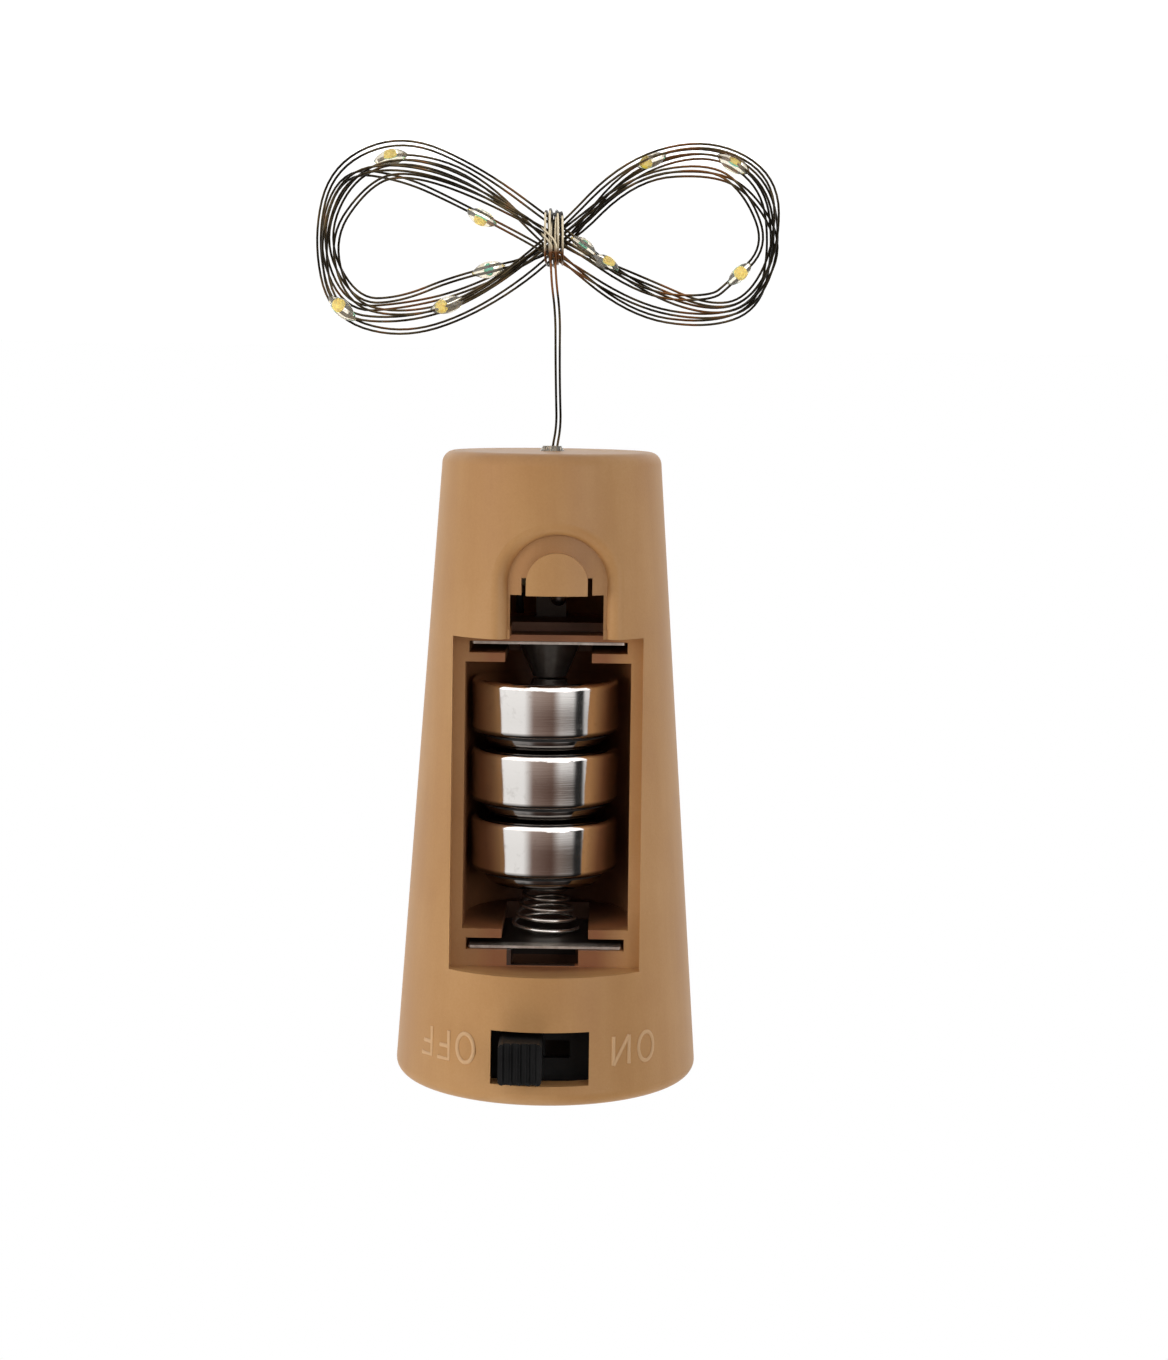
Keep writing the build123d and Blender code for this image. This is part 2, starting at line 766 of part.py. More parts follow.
with BuildPart() as switch_terminals:
    with BuildSketch(Plane.XZ.offset(-pin_back_y)):
        with Locations(*pin_places):
            Rectangle(TERMINAL_WIDTH, TERMINAL_HEIGHT)
    extrude(amount=pin_back_y - pin_front_y)
switch_terminals.part.label = "switch_terminals"
export_step(switch_terminals.part, "parts/switch_terminals.step")

rib_pitch = KNOB_WIDTH / KNOB_RIBS

with BuildPart() as switch_knob:
    with BuildSketch(Plane.XZ.offset(-knob_back_y)):
        with Locations((knob_x, window_z)):
            RectangleRounded(KNOB_WIDTH, KNOB_HEIGHT, KNOB_ROUND)
    extrude(amount=knob_back_y - knob_front_y)
    # Grip ribs: rounded grooves across the front face
    with BuildSketch(Plane.XY.offset(window_z - KNOB_HEIGHT / 2)):
        with Locations((knob_x, knob_front_y)):
            with GridLocations(rib_pitch, 0, KNOB_RIBS - 1, 1):
                Circle(KNOB_RIB_DEPTH)
    extrude(amount=KNOB_HEIGHT, mode=Mode.SUBTRACT)
    # Stem through the case, and the carriage inside it
    with BuildSketch(Plane.XZ.offset(-carriage_front_y)):
        with Locations((knob_x, window_z)):
            Rectangle(STEM_WIDTH, STEM_HEIGHT)
    extrude(amount=carriage_front_y - knob_back_y)
    with BuildSketch(Plane.XZ.offset(-carriage_back_y)):
        with Locations((knob_x, window_z)):
            Rectangle(CARRIAGE_WIDTH, CARRIAGE_HEIGHT)
    extrude(amount=CARRIAGE_THICKNESS)
switch_knob.part.label = "switch_knob"
export_step(switch_knob.part, "parts/switch_knob.step")

with BuildPart() as switch_wiper:
    foot_y = pin_front_y - SWITCH_CLEARANCE - WIPER_THICKNESS / 2
    top_y = carriage_back_y + WIPER_THICKNESS / 2
    half_span = SWITCH_TRAVEL / 2
    with BuildSketch(Plane.XY.offset(window_z - WIPER_HEIGHT / 2)):
        with BuildLine():
            Polyline(
                (knob_x - half_span - WIPER_THICKNESS, foot_y),
                (knob_x - half_span + WIPER_THICKNESS, foot_y),
                (knob_x - half_span / 2, top_y),
                (knob_x + half_span / 2, top_y),
                (knob_x + half_span - WIPER_THICKNESS, foot_y),
                (knob_x + half_span + WIPER_THICKNESS, foot_y),
            )
        trace(line_width=WIPER_THICKNESS)
    extrude(amount=WIPER_HEIGHT)
switch_wiper.part.label = "switch_wiper"
export_step(switch_wiper.part, "parts/switch_wiper.step")

# Seal in the wire's hole, and the splice inside it

wire_bore = WIRE_WIDTH + 2 * WIRE_CLEARANCE

with BuildPart() as wire_seal:
    with BuildSketch(Plane.XY.offset(narrow_z)):
        Circle(EXIT_HOLE / 2 - WIRE_CLEARANCE)
    extrude(amount=NARROW_FLOOR)
    with BuildSketch(Plane.XY.offset(narrow_z)):
        Circle(SEAL_DIAMETER / 2)
    extrude(amount=-SEAL_PROUD, taper=SEAL_SLOPE)
    with BuildSketch(Plane.XY.offset(floor_z)):
        Circle(SEAL_DIAMETER / 2)
    extrude(amount=SEAL_INSIDE, taper=SEAL_SLOPE)
    with BuildSketch(Plane.XY.offset(narrow_z - SEAL_PROUD)):
        Circle(wire_bore / 2)
    extrude(amount=SEAL_PROUD + NARROW_FLOOR + SEAL_INSIDE, mode=Mode.SUBTRACT)
wire_seal.part.label = "wire_seal"
export_step(wire_seal.part, "parts/wire_seal.step")

splice_low_z = floor_z + SPLICE_FROM_FLOOR
splice_high_z = splice_low_z + SPLICE_LENGTH

with BuildPart() as splice_sleeve:
    with BuildSketch(Plane.XY.offset(splice_low_z)):
        Circle(SPLICE_DIAMETER / 2)
    extrude(amount=SPLICE_LENGTH)
splice_sleeve.part.label = "splice_sleeve"
export_step(splice_sleeve.part, "parts/splice_sleeve.step")

# Resistor and inner leads

lead_offset = SPLICE_DIAMETER / 4
tab_end_z = block_low_z - TAB_LENGTH
upper_tab_end_z = block_high_z + TAB_LENGTH
resistor_low_z = splice_high_z + RESISTOR_FROM_SPLICE
resistor_high_z = resistor_low_z + RESISTOR_LENGTH
resistor_wire_low_z = resistor_low_z - RESISTOR_TAIL
resistor_wire_high_z = resistor_high_z + RESISTOR_TAIL

with BuildPart() as series_resistor:
    with BuildSketch(Plane((RESISTOR_X, RESISTOR_Y, resistor_low_z))):
        Circle(RESISTOR_DIAMETER / 2)
    extrude(amount=RESISTOR_LENGTH)
    fillet(series_resistor.edges().filter_by(GeomType.CIRCLE), RESISTOR_ROUND)
    with BuildSketch(Plane((RESISTOR_X, RESISTOR_Y, resistor_wire_low_z))):
        Circle(RESISTOR_WIRE / 2)
    extrude(amount=resistor_wire_high_z - resistor_wire_low_z)
series_resistor.part.label = "series_resistor"
export_step(series_resistor.part, "parts/series_resistor.step")

solder_radius = SOLDER_DIAMETER / 2
solder_y = tab_y - PLATE_THICKNESS - LEAD_DIAMETER / 2 - WIRE_CLEARANCE
positive_solder = (SOLDER_X, solder_y, tab_end_z + solder_radius)
negative_solder = (SOLDER_X, solder_y, upper_tab_end_z - solder_radius)
common_pin = (SWITCH_OFFSET, pin_back_y, window_z)
live_pin = (SWITCH_OFFSET - SWITCH_TRAVEL, pin_back_y, window_z)


def back_gap(z):
    """Middle of the gap behind the battery bay, where a lead runs between bay and shell."""
    bay = channel_y + math.sqrt((channel_radius + BAY_WALL) ** 2 - LEAD_BACK_X**2)
    shell = math.sqrt((side_radius(z) - SHELL_WALL) ** 2 - LEAD_BACK_X**2)
    return (bay + shell) / 2


lead_positive_route = (
    (-lead_offset, 0.0, splice_high_z),
    (-lead_offset, 0.0, splice_high_z + LEAD_RUN),
    (SOLDER_X, solder_y, tab_end_z - LEAD_RUN),
    positive_solder,
)
lead_resistor_route = (
    (lead_offset, 0.0, splice_high_z),
    (lead_offset, 0.0, splice_high_z + LEAD_RUN),
    (RESISTOR_X, RESISTOR_Y, resistor_wire_low_z - LEAD_RUN),
    (RESISTOR_X, RESISTOR_Y, resistor_wire_low_z),
)
lead_switched_route = (
    (RESISTOR_X, RESISTOR_Y, resistor_wire_high_z),
    (RESISTOR_X, RESISTOR_Y, resistor_wire_high_z + LEAD_RUN),
    (LEAD_BACK_X, back_gap(block_low_z), block_low_z),
    (LEAD_BACK_X, back_gap(block_high_z), block_high_z),
    (LEAD_BACK_X / 2, back_gap(block_high_z) - LEAD_RUN, block_high_z + 2 * LEAD_RUN),
    (SWITCH_OFFSET, pin_back_y + 3 * LEAD_RUN, window_z),
    common_pin,
)
lead_negative_route = (
    negative_solder,
    (SOLDER_X, solder_y, upper_tab_end_z + LEAD_RUN),
    (SWITCH_OFFSET - SWITCH_TRAVEL, pin_back_y + 2 * LEAD_RUN, window_z),
    live_pin,
)

lead_positive = lead_tube(lead_positive_route, LEAD_DIAMETER)
lead_positive.label = "lead_positive"
export_step(lead_positive, "parts/lead_positive.step")

lead_resistor = lead_tube(lead_resistor_route, LEAD_DIAMETER)
lead_resistor.label = "lead_resistor"
export_step(lead_resistor, "parts/lead_resistor.step")

lead_switched = lead_tube(lead_switched_route, LEAD_DIAMETER)
lead_switched.label = "lead_switched"
export_step(lead_switched, "parts/lead_switched.step")

lead_negative = lead_tube(lead_negative_route, LEAD_DIAMETER)
lead_negative.label = "lead_negative"
export_step(lead_negative, "parts/lead_negative.step")

with BuildPart() as solder_joints:
    with Locations(positive_solder, negative_solder, common_pin, live_pin):
        Sphere(solder_radius)
    for held in (lead_positive, lead_negative, lead_switched):
        add(held, mode=Mode.SUBTRACT)
    for held in (positive_contact, negative_contact, switch_terminals):
        add(held.part, mode=Mode.SUBTRACT)
solder_joints.part.label = "solder_joints"
export_step(solder_joints.part, "parts/solder_joints.step")

# Hank and the wraps round its waist, in one length of wire

hank = Vector(0, 0, narrow_z - HANK_DROP)
half_spiral = HANK_PITCH * (HANK_LAST_STEP - HANK_FIRST_STEP) / HANK_STEPS_PER_TURN / 4
reverse_step = (HANK_FIRST_STEP + HANK_LAST_STEP) / 2
climb_steps = HANK_STEPS_PER_TURN / 2
waist_slope = 2 * HANK_RISE / HANK_REACH
waist_half_width = WRAP_PITCH * WRAP_TURNS / 2
waist_half_height = half_spiral * math.hypot(1, waist_slope) + waist_half_width * waist_slope
wrap_half_height = waist_half_height + WIRE_WIDTH + WRAP_GAP
wrap_half_depth = HANK_PITCH * (0.5 + HANK_SWING) + WIRE_WIDTH + WRAP_GAP


def hank_line(step):
    """Point of the figure eight: the front layer spirals one way, the back layer returns."""
    angle = 2 * math.pi * step / HANK_STEPS_PER_TURN
    along_x = HANK_REACH * math.cos(angle) + HANK_LEAN * math.sin(2 * angle)
    along_z = -2 * HANK_RISE * math.cos(2 * angle)
    speed = math.hypot(along_x, along_z)
    from_reverse = abs(step - reverse_step) / HANK_STEPS_PER_TURN
    side = half_spiral - HANK_PITCH * from_reverse
    climbed = min(max((step - reverse_step) / climb_steps + 0.5, 0), 1)
    layer = HANK_PITCH * (climbed - 0.5)
    return hank + Vector(
        HANK_REACH * math.sin(angle) + HANK_LEAN * math.sin(angle) ** 2 - side * along_z / speed,
        layer - HANK_SWING * HANK_PITCH * math.cos(angle),
        side * along_x / speed - HANK_RISE * math.sin(2 * angle),
    )


def wrap_line(turn):
    """Point of the wraps: rounded oblongs round the waist, down the front and up the back."""
    angle = 2 * math.pi * turn
    depth = math.copysign(abs(math.cos(angle)) ** WRAP_SQUARENESS, math.cos(angle))
    height = math.copysign(abs(math.sin(angle)) ** WRAP_SQUARENESS, math.sin(angle))
    return hank + Vector(
        WRAP_PITCH * (turn - WRAP_TURNS / 2),
        -wrap_half_depth * depth,
        -wrap_half_height * height,
    )


wrap_start = wrap_line(0)
hank_top = wrap_start + Vector(0, 0, WIRE_WIDTH)
hank_knots = [(hank_top, down)]
for step in range(WRAP_TURNS * WRAP_STEPS_PER_TURN + 1):
    turn = step / WRAP_STEPS_PER_TURN
    hank_knots.append((wrap_line(turn), direction(wrap_line, turn)))
for step in range(HANK_FIRST_STEP, HANK_LAST_STEP + 1):
    hank_knots.append((hank_line(step), direction(hank_line, step)))
last_point, last_direction = hank_knots[-1]
hank_knots.append((last_point + last_direction * WIRE_WIDTH, last_direction))

with BuildPart() as fairy_wire_hank:
    with BuildLine() as hank_route:
        biarcs(hank_knots)
    with BuildSketch(Plane(hank_top, z_dir=down)) as hank_section:
        RegularPolygon(WIRE_WIDTH / 2, WIRE_SIDES)
    sweep()
hank_gap = least_gap(hank_route.edges(), WIRE_WIDTH, wrap_half_height + wrap_half_depth)
hank_length = sum(edge.length for edge in hank_route.edges())
print(f"fairy_wire_hank least gap {hank_gap:.3f} mm, length {hank_length:.1f} mm")
print(f"fairy_wire_hank volume {fairy_wire_hank.part.volume:.2f} mm3")
print(f"section times length {hank_section.sketch.area * hank_length:.2f} mm3")
fairy_wire_hank.part.label = "fairy_wire_hank"
export_step(fairy_wire_hank.part, "parts/fairy_wire_hank.step")

# Lead from the splice, through the seal, down to the hank

fairy_wire_route = (
    (0.0, 0.0, splice_low_z),
    *((x, y, narrow_z - drop) for x, y, drop in LEAD_BENDS),
    (hank_top.X, hank_top.Y, hank_top.Z),
)
fairy_wire_lead = lead_tube(fairy_wire_route, WIRE_WIDTH)
print("fairy_wire_lead radii", [round(radius, 2) for radius in corner_radii(fairy_wire_route)])
fairy_wire_lead.label = "fairy_wire_lead"
export_step(fairy_wire_lead, "parts/fairy_wire_lead.step")

# Lights: a chip on the wire in a drop of resin


def bead_plane(step):
    """Plane across the wire at a light, with its X axis towards the side that the chip faces."""
    along = direction(hank_line, step)
    facing = 1 if step in BEAD_STEPS_FACING_BACK else -1
    outwards = Vector(0, facing, 0)
    across = (outwards - along * outwards.dot(along)).normalized()
    return Plane(hank_line(step), x_dir=across, z_dir=along)


chip_offset = WIRE_WIDTH / 2 + WIRE_CLEARANCE + CHIP_THICKNESS / 2

with BuildPart() as led_chips:
    with Locations(*[bead_plane(step) for step in BEAD_STEPS]):
        with Locations((chip_offset, 0, 0)):
            Box(CHIP_THICKNESS, CHIP_WIDTH, CHIP_LENGTH)
led_chips.part.label = "led_chips"

with BuildPart() as bead_shape:
    with BuildSketch(Plane.XZ):
        with BuildLine():
            Polyline(
                (WIRE_WIDTH / 2, BEAD_LENGTH / 2),
                (0, BEAD_LENGTH / 2),
                (0, -BEAD_LENGTH / 2),
                (WIRE_WIDTH / 2, -BEAD_LENGTH / 2),
            )
            ThreePointArc(
                (WIRE_WIDTH / 2, -BEAD_LENGTH / 2),
                (BEAD_DIAMETER / 2, 0),
                (WIRE_WIDTH / 2, BEAD_LENGTH / 2),
            )
        make_face()
    revolve(axis=Axis.Z)

with BuildPart() as led_beads:
    with Locations(*[bead_plane(step) for step in BEAD_STEPS]):
        add(bead_shape.part)
    add(led_chips.part, mode=Mode.SUBTRACT)
led_beads.part.label = "led_beads"
export_step(led_chips.part, "parts/led_chips.step")
export_step(led_beads.part, "parts/led_beads.step")
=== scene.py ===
"""Cork bottle light: finishes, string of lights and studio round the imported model."""

import json
import math

import bmesh
import bpy
from mathutils import Matrix, Quaternion, Vector


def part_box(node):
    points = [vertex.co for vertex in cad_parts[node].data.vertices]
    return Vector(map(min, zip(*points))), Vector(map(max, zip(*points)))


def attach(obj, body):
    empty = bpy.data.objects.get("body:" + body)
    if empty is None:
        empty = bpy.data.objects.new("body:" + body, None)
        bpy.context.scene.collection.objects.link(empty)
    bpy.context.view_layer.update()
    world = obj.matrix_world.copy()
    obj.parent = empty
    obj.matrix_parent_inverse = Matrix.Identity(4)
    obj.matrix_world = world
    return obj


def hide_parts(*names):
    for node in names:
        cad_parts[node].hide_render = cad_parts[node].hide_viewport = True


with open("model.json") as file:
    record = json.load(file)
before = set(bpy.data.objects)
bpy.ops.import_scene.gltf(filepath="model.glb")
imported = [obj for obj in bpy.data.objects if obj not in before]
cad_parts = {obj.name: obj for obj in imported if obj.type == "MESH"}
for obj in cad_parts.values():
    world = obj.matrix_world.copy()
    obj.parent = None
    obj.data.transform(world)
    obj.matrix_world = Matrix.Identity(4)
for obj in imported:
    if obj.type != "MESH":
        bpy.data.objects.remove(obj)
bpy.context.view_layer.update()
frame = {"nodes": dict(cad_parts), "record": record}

MM = 0.001
FULL_TURN = 2 * math.pi

# Camera, in millimetres and radians: the photograph shows the stopper head down
CAMERA_PLACE = (-4.477, -200.0, -18.02)
CAMERA_AIM = (-2.717, 0.0, 6.016)
CAMERA_LEAN = 0.0126
CAMERA_LENS = 67.47
CAMERA_SENSOR = 36.0

# Lamps, in millimetres and watts: name, place, aim, side, power, and whether bright metal shows it
LAMPS = (
    ("key_lamp", (265, -140, -30), (0, 0, 8), 150, 0.53, False),
    ("fill_lamp", (-190, -270, -20), (0, 0, 8), 150, 0.215, True),
    ("rim_lamp", (-290, -10, 10), (0, 0, 8), 180, 0.215, False),
    ("head_lamp", (60, -130, 300), (0, 0, 10), 240, 0.52, False),
    ("back_lamp", (40, 330, 60), (0, 0, 8), 200, 0.3, False),
)
AMBIENT = 0.135

# Floor, in millimetres, and how bright the camera sees it
FLOOR_Z = -62.0
FLOOR_REACH = 4000.0
FLOOR_GLOW = 0.9

# Card that bright metal shows, in millimetres and degrees, and by shares of its height where it
# turns to its raised stripes and then dark
CARD_RADIUS = 330.0
CARD_HALF_TURN = 85.0
CARD_LOW = -60.0
CARD_HIGH = 1400.0
CARD_COLUMNS = 34
CARD_RAISED = (0.05, 0.115)
CARD_DARK = (0.15, 0.23)

# Stopper, in millimetres
NARROW_Z = -12.0
NARROW_RADIUS = 8.5
WIDE_Z = 37.4
WIDE_RADIUS = 12.0
SIDE_SLOPE = (WIDE_RADIUS - NARROW_RADIUS) / (WIDE_Z - NARROW_Z)
NOTCH_X = 0.3
NOTCH_HALF_WIDTH = 2.62
NOTCH_Z = 26.75
NOTCH_HALF_HEIGHT = 0.65

# Painted shade in the stopper, and its pale tint where it stands proud: where each starts and is
# full, in millimetres inside the tapered side, and its strength there; those of the seat and of the
# walls are weakened together
SEAT_SHADE = (0.5, 0.85, 0.32)
WALL_SHADE = (1.6, 3.0, 1.0)
WALL_STRENGTH = 0.75
TROUGH_SHADE = (4.2, 6.0, 0.6)
NOTCH_SHADE = (1.35, 1.6, 0.9)
PROUD_TINT = (-0.012, -0.048, 0.6)

# Limits of that painted shade: X in millimetres where the seat's painted shade is weaker, standing in
# for light on that side, shares of the stopper's height where they fade out towards its ends, and
# squared shares of the notch's half sizes
SEAT_LIGHTER = (-2.0, -7.0, 0.85)
NARROW_FADE = (0.01, 0.04)
WIDE_FADE = (0.97, 0.95)
NOTCH_FADE = (1.02, 1.0)

# Painted shade on the contacts, in millimetres behind the front line of the stopper's side, and its
# strength
CONTACT_SHADE = (5.0, 5.8, 0.94)

# Cells, in millimetres: how far their walls bulge, the height of the crimp at one end, how far the
# middle of the painted shade at the joint between cells stands above the can, and its reach to each
# side, full and faded out
BARREL_DEPTH = 0.05
CELL_CRIMP = 1.4
JOINT_SHADE_ABOVE_CAN = 0.35
JOINT_SHADE_FULL = 0.65
JOINT_SHADE_FADED = 0.85

# Two-strand wire, in millimetres, with the strands' sway about each other in radians
STRAND_DIAMETER = 0.19
STRAND_APART = 0.36
STRAND_SWAY = 0.55
STRAND_SWAY_LENGTH = 31.0
STRAND_SIDES = 7
WIRE_STEPS_PER_POINT = 8
LEAD_ROUTE = (
    (0.0, 0.0, -9.2),
    (-0.12, 0.0, -11.9),
    (-0.5, -0.12, -13.9),
    (-0.42, -0.5, -16.2),
    (-0.36, -1.05, -19.4),
    (-0.36, -1.6, -22.6),
    (0.02, -1.95, -25.4),
)

# How the strands turn to lie side by side as seen from the front: by what share at each point, and
# how much of the wire's direction has to run across that view
FLAT_PULL = 0.2
FLAT_LEAST = 0.3

# Hank: a figure eight of five turns, tied round its waist by three wraps
HANK_Z = -28.0
HANK_REACH = 16.6
HANK_RISE = 5.9
HANK_STEPS_PER_TURN = 16
HANK_FIRST_STEP = 1
HANK_LAST_STEP = 82
HANK_END_STEP = 82.4
HANK_SWING = 0.95
HANK_DRIFT = 0.3
WRAP_TURNS = 3
WRAP_PLACES = ((0, 0.08), (1, -0.5), (2, 0.5), (3, -0.05))
WRAP_Z = -28.4
WRAP_HALF_DEPTH = 1.95
WRAP_DEPTH_PITCH = 0.2
WRAP_HALF_HEIGHT = 1.95
WRAP_HEIGHT_PITCH = 0.1
WRAP_STEPS_PER_TURN = 12
WRAP_SQUARENESS = 0.5

# Where the front of the tie has a painted highlight: X squared, Y, and Z from its middle, in
# millimetres
TIE_WAIST = (1.0, 0.6)
TIE_FRONT = (-1.82, -1.9)
TIE_COPPER = (0.8, 1.2)

# A spline of order 3 passes inside its control points by this share of their second difference
SPLINE_INSET = 0.125

# How far each turn lies beside the hank's middle line, in millimetres, by its step in the turn
TURN_SIDES = {
    0: (0.1, -0.45, -0.2, -0.8, 0.8, 0.45),
    1: (0.2, 0.55, -0.3, -1.3, 0.95, -0.75),
    2: (0.45, 0.95, -0.1, -1.62, 1.25, -0.75),
    3: (-0.7, 0.9, -0.3, -1.85, -1.1),
    4: (-1.1, -0.3, -0.75, -1.65, -1.38),
    5: (-1.3, -0.35, 0.1, -1.9, -0.85),
    6: (0.05, 0.5, 1.7, -1.0, 1.15),
    7: (0.0, 0.4, 1.6, -0.95, 0.8),
    8: (0.3, 0.65, -0.4, -0.6, 0.0),
    9: (0.75, 2.0, 0.55, 1.4, 1.1),
    10: (-0.12, 1.7, -0.52, 1.3, 0.4),
    11: (-0.8, 1.5, -0.4, 0.95, 0.5),
    12: (-0.6, 0.3, 0.62, 0.5, 0.0),
    13: (-1.4, -0.55, -0.2, 0.1, 0.33),
    14: (-1.95, -1.42, -0.97, -0.5, 0.0),
    15: (-0.75, -1.3, -1.0, 0.3, 0.92),
}

# Lights: step along the hank, how far beside the middle line, where the chip faces, and how far
# along the wire it sits from its drop's middle, in millimetres
FRONT = (0.0, -1.0, 0.0)
BACK = (0.0, 1.0, 0.0)
OUTWARD = (0.0, -0.35, -0.94)
INWARD = (0.0, -0.2, 0.98)
LIGHTS = (
    (5.05, -1.6, FRONT, -0.35),
    (12.58, -2.07, FRONT, -0.1),
    (22.63, 0.1, FRONT, -0.45),
    (31.45, -1.42, OUTWARD, -0.3),
    (39.37, 1.6, BACK, 0.0),
    (47.75, -1.12, BACK, 0.1),
    (57.33, 2.1, FRONT, -0.5),
    (64.72, 1.6, INWARD, 0.0),
    (74.4, 0.85, OUTWARD, 0.0),
    (82.2, -0.45, OUTWARD, 0.0),
)

# Steps to each side of a light where its own place stands in for that of the turn
LIGHT_SPREAD = 0.55

# Share of the wire's points, from the splice, on which no light is looked for
LIGHTLESS_SHARE = 0.25

# Resin drops, in millimetres: they taper by the square of the share along them, lean to the chip's
# side by a share of their width, and vary in size at random
DROP_LENGTH = 2.65
DROP_WIDTH = 1.25
DROP_TAPER = 1.6
DROP_BULGE = 0.1
DROP_LUMP = 0.14
DROP_LUMPS_PER_MM = 0.9
DROP_LEAST = 0.88
DROP_MOST = 1.1
DROP_SEED = 4
DROP_SEGMENTS = 28
DROP_RINGS = 20

# Chips, in millimetres for their size and how far they stand off the wire, and else in shares of
# that size; one that shows the back of its board is smaller
CHIP_SIZE = 0.92
CHIP_RAISED = 0.2
CHIP_BACK = -0.1
CHIP_DOME = 0.75
CHIP_BREADTH = 1.15
CHIP_ROUNDING = 0.5
CHIP_SEGMENTS = 20
CHIP_RINGS = 14
BARE_BOARD_SHARE = 0.75

# Contact spring, in millimetres
SPRING_WIRE = 0.34
SPRING_TURNS = 4.5
SPRING_TIP_DIAMETER = 2.9
SPRING_BASE_DIAMETER = 5.3
SPRING_STEPS_PER_TURN = 40
SPRING_SIDES = 10

# Raised words beside the switch, in millimetres along the side, with the photograph's left as +X
LETTER_HEIGHT = 2.2
LETTER_STROKE = 0.45
LETTER_ROUNDING = 2
LETTER_SUNK = 0.12
LETTER_Z = 33.25
OFF_LETTERS = (("F", 10.15), ("F", 8.28), ("O", 6.15))
ON_LETTERS = (("N", -6.24), ("O", -8.58))

# Letters as shares of their height
O_HALF_WIDTH = 0.34
O_STEPS = 28
F_HALF_WIDTH = 0.26
F_BAR_END = 0.156
F_BAR_UP = 0.05
N_HALF_WIDTH = 0.31


class Value:
    """Output socket of a node, on which Python's operators add Math nodes."""

    def __init__(self, nodes, socket):
        self.nodes = nodes
        self.socket = socket

    def math(self, operation, first, second=0.0):
        return self.nodes.add("ShaderNodeMath", {"operation": operation}, {0: first, 1: second})

    def __add__(self, other):
        return self.math("ADD", self, other)

    def __radd__(self, other):
        return self.math("ADD", other, self)

    def __sub__(self, other):
        return self.math("SUBTRACT", self, other)

    def __rsub__(self, other):
        return self.math("SUBTRACT", other, self)

    def __mul__(self, other):
        return self.math("MULTIPLY", self, other)

    def __rmul__(self, other):
        return self.math("MULTIPLY", other, self)

    def power(self, exponent):
        return self.math("POWER", self, exponent)

    def cosine(self):
        return self.math("COSINE", self)

    def largest(self, other):
        return self.math("MAXIMUM", self, other)


class Nodes:
    """Node tree that is filled by short calls."""

    def __init__(self, tree):
        self.tree = tree

    def feed(self, socket, value):
        """Links a value to an input socket, or sets the socket to a constant."""
        if isinstance(value, Value):
            self.tree.links.new(value.socket, socket)
        else:
            socket.default_value = value

    def add(self, kind, settings=None, inputs=None, output=0):
        """Adds a node with its settings and inputs, and gives one of its outputs."""
        node = self.tree.nodes.new(kind)
        for name, setting in (settings or {}).items():
            if name == "stops":
                self.set_stops(node.color_ramp, setting)
            else:
                setattr(node, name, setting)
        for name, value in (inputs or {}).items():
            self.feed(node.inputs[name], value)
        return Value(self, node.outputs[output])

    def set_stops(self, ramp, stops):
        """Gives a colour ramp its stops, each a position and a colour."""
        while len(ramp.elements) < len(stops):
            ramp.elements.new(1.0)
        for element, (position, colour) in zip(ramp.elements, stops):
            element.position = position
            element.color = colour

    def split(self, vector):
        """X, Y and Z of a vector, as three values."""
        first = self.add("ShaderNodeSeparateXYZ", inputs={"Vector": vector})
        return [Value(self, socket) for socket in first.socket.node.outputs]


class Finish(Nodes):
    """Material with one shader, whose constants are set on its own sockets."""

    def __init__(self, name, **constants):
        self.material = bpy.data.materials.new(name)
        self.material.use_nodes = True
        super().__init__(self.material.node_tree)
        self.shader = self.tree.nodes["Principled BSDF"]
        for socket, value in constants.items():
            self.shader.inputs[socket.replace("_", " ")].default_value = value
        self.place = self.add("ShaderNodeTexCoord", output="Object")

    def set(self, **values):
        """Feeds the shader's sockets that vary over the surface."""
        for socket, value in values.items():
            self.feed(self.shader.inputs[socket.replace("_", " ")], value)
        return self.material

    def spot(self):
        """Object coordinates in millimetres, as three values."""
        return [part * (1 / MM) for part in self.split(self.place)]

    def depth(self):
        """How far a point lies inside the stopper's tapered side, in millimetres."""
        x, y, z = self.spot()
        return side_radius(z) - (x * x + y * y).power(0.5)

    def setback(self):
        """How far a point lies behind the front line of the stopper's side, in millimetres."""
        _, y, z = self.spot()
        return y + side_radius(z)

    def noise(self, per_mm, detail=3.0, roughness=0.55, stretch=(1.0, 1.0, 1.0)):
        """Noise with about that many features per millimetre, from 0 to 1."""
        scale = tuple(per_mm / MM * share for share in stretch)
        spot = self.add("ShaderNodeMapping", inputs={"Vector": self.place, "Scale": scale})
        inputs = {"Vector": spot, "Scale": 1.0, "Detail": detail, "Roughness": roughness}
        return self.add("ShaderNodeTexNoise", inputs=inputs)

    def ramp(self, value, *stops):
        """Colour over a value, by stops."""
        return self.add("ShaderNodeValToRGB", {"stops": stops}, {"Fac": value})

    def rise(self, value, start, full, most=1.0):
        """Share that goes from 0, where a value is at its start, to its most, where it is full."""
        inputs = {"Value": value, "From Min": start, "From Max": full, "To Max": most}
        return self.add("ShaderNodeMapRange", inputs=inputs)

    def mix(self, share, first, second):
        """Colour between two colours."""
        inputs = {0: share, 6: first, 7: second}
        return self.add("ShaderNodeMix", {"data_type": "RGBA"}, inputs, output=2)

    def bump(self, height, depth_mm):
        """Normal from a height, of which 1 stands for that depth in millimetres."""
        return self.add("ShaderNodeBump", inputs={"Height": height, "Distance": depth_mm * MM})


